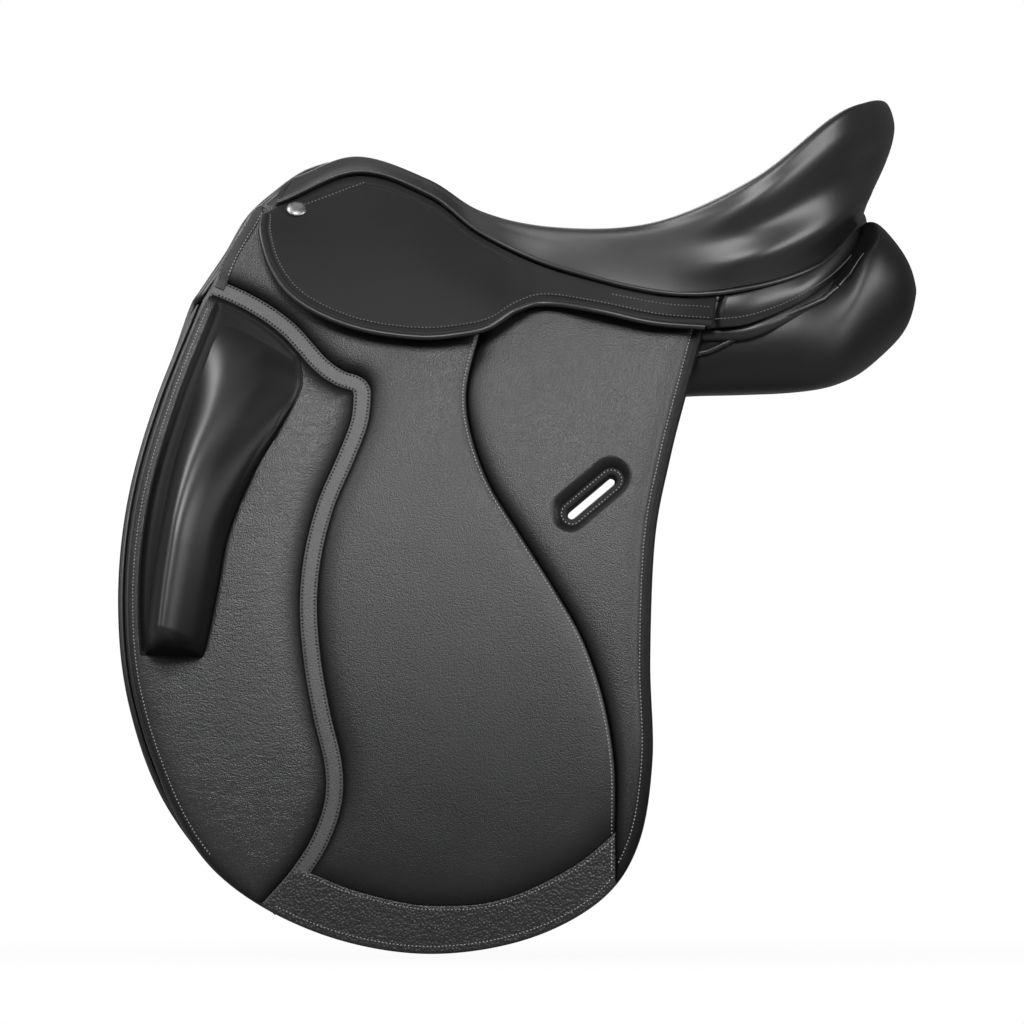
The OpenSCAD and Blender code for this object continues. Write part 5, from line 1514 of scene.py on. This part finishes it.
class SADDLE_OT_panels(bpy.types.Operator):
    """Stuffed panels with their seam welts, and the lining of the channel between them"""

    bl_idname = "saddle.panels"
    bl_label = "Panels"

    WELT_R, WELT_END_R, LINING_T = 2.0, 0.4, 2.5

    def execute(self, context):
        s, a = np.linspace(0, len(PANEL) - 1, 290), np.linspace(0, 2 * np.pi, 96, endpoint=False)
        p = capped(drawn_in(panel_point(*np.meshgrid(s, a, indexing="ij"))))
        faces = grid_faces(len(p), 96, False, True)
        seam, up = panel_seam(np.linspace(70, 234, 160))
        fade = ease((np.linspace(0, 1, 160) - 0.8) / 0.2)
        ring = circle(mix(self.WELT_R, self.WELT_END_R, fade), 12)
        welt = swept(seam + up * (1.6 - 4 * fade)[:, None], up, ring)
        for side, sign in SIDES:
            made = piece(f"{side}_panel_cushion", p, faces, "panel", sign, 80)
            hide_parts(f"{side}_panel")
            cord = piece(f"{side}_panel_welt", *welt, "binding", sign)
            for x in (made, cord):
                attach(x, "saddle")
        u = np.linspace(1.2, 8.2, 120)
        wide = np.linspace(1, -1, 24)[None, :, None] * np.array([0, GULLET / 2 - 2, 0])
        under = SPRING_DEPTH + SPRING_T + GAP
        roof = lambda d: seat(u, np.ones_like(u), under + d, 1.0)[:, None] + wide
        lining = piece("channel_lining", *closed(roof(0.0), roof(self.LINING_T)), "inner")
        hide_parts("gullet_lining")
        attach(lining, "saddle")
        return {"FINISHED"}


class SADDLE_OT_fittings(bpy.types.Operator):
    """Finishes of the tree, steels, webs, straps, bars and fasteners"""

    bl_idname = "saddle.fittings"
    bl_label = "Fittings"

    FINISH = {
        "wood": ("tree", "left_point", "right_point"),
        "web": ("seat_web", "front_girth_web", "rear_girth_web"),
        "polished": ("left_head_nail", "right_head_nail"),
        "strap": ("left_front_strap", "left_rear_strap", "right_front_strap", "right_rear_strap"),
    }

    def execute(self, context):
        named = {n: key for key, nodes in self.FINISH.items() for n in nodes}
        for name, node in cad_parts.items():
            if not node.hide_render:
                node.data.materials.clear()
                node.data.materials.append(FINISHES[named.get(name, "steel")])
        return {"FINISHED"}


class SADDLE_OT_stage(bpy.types.Operator):
    """Pale floor, white surroundings, soft lamps and the camera"""

    bl_idname = "saddle.stage"
    bl_label = "Stage"

    # Name, place, aim, width and height, and power of each lamp
    LAMPS = (
        ("key_lamp", (-0.22, -2.0, 1.65), (0, -0.1, 0), (1.05, 1.05), 49),
        ("side_lamp", (-1.7, -0.3, 1.95), (-0.2, -0.15, 0), (0.8, 1.4), 40),
        ("front_lamp", (-2.2, -1.2, 0.9), (-0.2, -0.1, -0.1), (1.0, 1.0), 9),
        ("rear_lamp", (0.95, -0.74, 0.5), (0.2, -0.12, 0.12), (0.9, 0.5), 12),
        ("top_lamp", (0.1, 0.5, 2.3), (0.05, 0, 0), (1.2, 1.2), 4),
        ("far_lamp", (-0.8, 2.2, 1.4), (0, 0.1, 0), (1.6, 1.6), 26),
    )
    # Camera: distance from the origin, distance of the flap's face, width of the picture there, place
    REACH, FACE_AT, WIDTH, MIDDLE_X, MIDDLE_Z = 20.0, 0.13, 0.7373, -0.0202, -0.0806

    def execute(self, context):
        scene = context.scene
        scene.view_settings.view_transform = "Standard"
        self.white_world(scene)
        self.floor(CAD_BOX[0][2] - 0.004)
        for lamp in self.LAMPS:
            self.lamp(*lamp)
        data = bpy.data.cameras.new("camera")
        data.sensor_width = 36
        data.lens = data.sensor_width * (self.REACH - self.FACE_AT) / self.WIDTH
        data.clip_start, data.clip_end = 1.0, 100.0
        camera = bpy.data.objects.new("camera", data)
        camera.location = (self.MIDDLE_X, -self.REACH, self.MIDDLE_Z)
        camera.rotation_euler = (math.pi / 2, 0, 0)
        scene.collection.objects.link(camera)
        scene.camera = camera
        return {"FINISHED"}

    def white_world(self, scene):
        """World: soft grey light on the object, white behind it and a little of the white in reflections."""
        net = Net(bpy.data.worlds.new("studio"))
        ray = lambda kind: net.node("ShaderNodeLightPath", out=f"Is {kind} Ray")
        soft = net.node("ShaderNodeBackground", None, {"Color": (0.95, 0.97, 1.0, 1), "Strength": 0.07})
        white = net.node("ShaderNodeBackground", None, {"Color": (1, 1, 1, 1), "Strength": 1.0})
        rays = {0: ray("Glossy"), 1: ray("Transmission")}
        glint = net.node("ShaderNodeMath", {"operation": "MAXIMUM"}, rays)
        both = net.node("ShaderNodeMixShader", None, {0: glint * 0.06 + ray("Camera"), 1: soft, 2: white})
        net.node("ShaderNodeOutputWorld", None, {"Surface": both})
        scene.world = net.owner

    def floor(self, z):
        """Pale floor under the flaps, which keeps the shadow."""
        net = finish_net("pale_floor")
        tone = net.tint(net.noise(3, 3), (0.28, 0.28, 0.28), 1, 0.32 / 0.28)
        pale = net.node("ShaderNodeBsdfDiffuse", None, {"Color": tone})
        white = net.node("ShaderNodeEmission", None, {"Color": (1, 1, 1, 1), "Strength": 1.0})
        far = net.node("ShaderNodeVectorMath", {"operation": "LENGTH"}, {0: net.place()}, "Value")
        share = net.node("ShaderNodeLightPath", out="Is Camera Ray") * net.ramp(far, [(0.4, 0.95), (0.9, 1)])
        both = net.node("ShaderNodeMixShader", None, {0: share, 1: pale, 2: white})
        net.node("ShaderNodeOutputMaterial", None, {"Surface": both})
        mesh = bpy.data.meshes.new("floor")
        mesh.from_pydata([(-2, -2, z), (2, -2, z), (2, 2, z), (-2, 2, z)], [], [(0, 1, 2, 3)])
        mesh.materials.append(net.owner)
        floor = bpy.data.objects.new("floor", mesh)
        bpy.context.scene.collection.objects.link(floor)

    def lamp(self, name, at, aim, size, power):
        """Soft lamp of a width and a height that looks at a point."""
        data = bpy.data.lights.new(name, "AREA")
        data.shape, data.energy = "RECTANGLE", power
        data.size, data.size_y = size
        lamp = bpy.data.objects.new(name, data)
        lamp.location = at
        lamp.rotation_euler = (Vector(aim) - Vector(at)).to_track_quat("-Z", "Y").to_euler()
        bpy.context.scene.collection.objects.link(lamp)


class SADDLE_PT_panel(bpy.types.Panel):
    """Lists the saddle's pieces and sizes"""

    bl_label = "Dressage saddle"
    bl_idname = "SADDLE_PT_panel"
    bl_space_type = "VIEW_3D"
    bl_region_type = "UI"
    bl_category = "Saddle"

    def draw(self, context):
        for made in OPERATORS:
            self.layout.operator(made.bl_idname)
        for group in (context.scene.saddle_sizes, context.scene.saddle_colours):
            for key in group.__annotations__:
                self.layout.prop(group, key)


OPERATORS = (
    SADDLE_OT_finishes, SADDLE_OT_seat, SADDLE_OT_skirts, SADDLE_OT_cantle, SADDLE_OT_front_arch,
    SADDLE_OT_flaps, SADDLE_OT_knee_blocks, SADDLE_OT_sweat_flaps, SADDLE_OT_panels, SADDLE_OT_fittings,
    SADDLE_OT_stage,
)
CLASSES = (SADDLE_PG_sizes, SADDLE_PG_colours, *OPERATORS, SADDLE_PT_panel)


def register():
    for made in CLASSES:
        bpy.utils.register_class(made)
    bpy.types.Scene.saddle_sizes = bpy.props.PointerProperty(type=SADDLE_PG_sizes)
    bpy.types.Scene.saddle_colours = bpy.props.PointerProperty(type=SADDLE_PG_colours)


def unregister():
    del bpy.types.Scene.saddle_sizes, bpy.types.Scene.saddle_colours
    for made in reversed(CLASSES):
        bpy.utils.unregister_class(made)


def main():
    register()
    saddle = bpy.ops.saddle
    for step in (
        saddle.finishes, saddle.seat, saddle.skirts, saddle.cantle, saddle.front_arch, saddle.flaps,
        saddle.knee_blocks, saddle.sweat_flaps, saddle.panels, saddle.fittings, saddle.stage,
    ):
        step()
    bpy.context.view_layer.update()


if __name__ == "__main__":
    main()
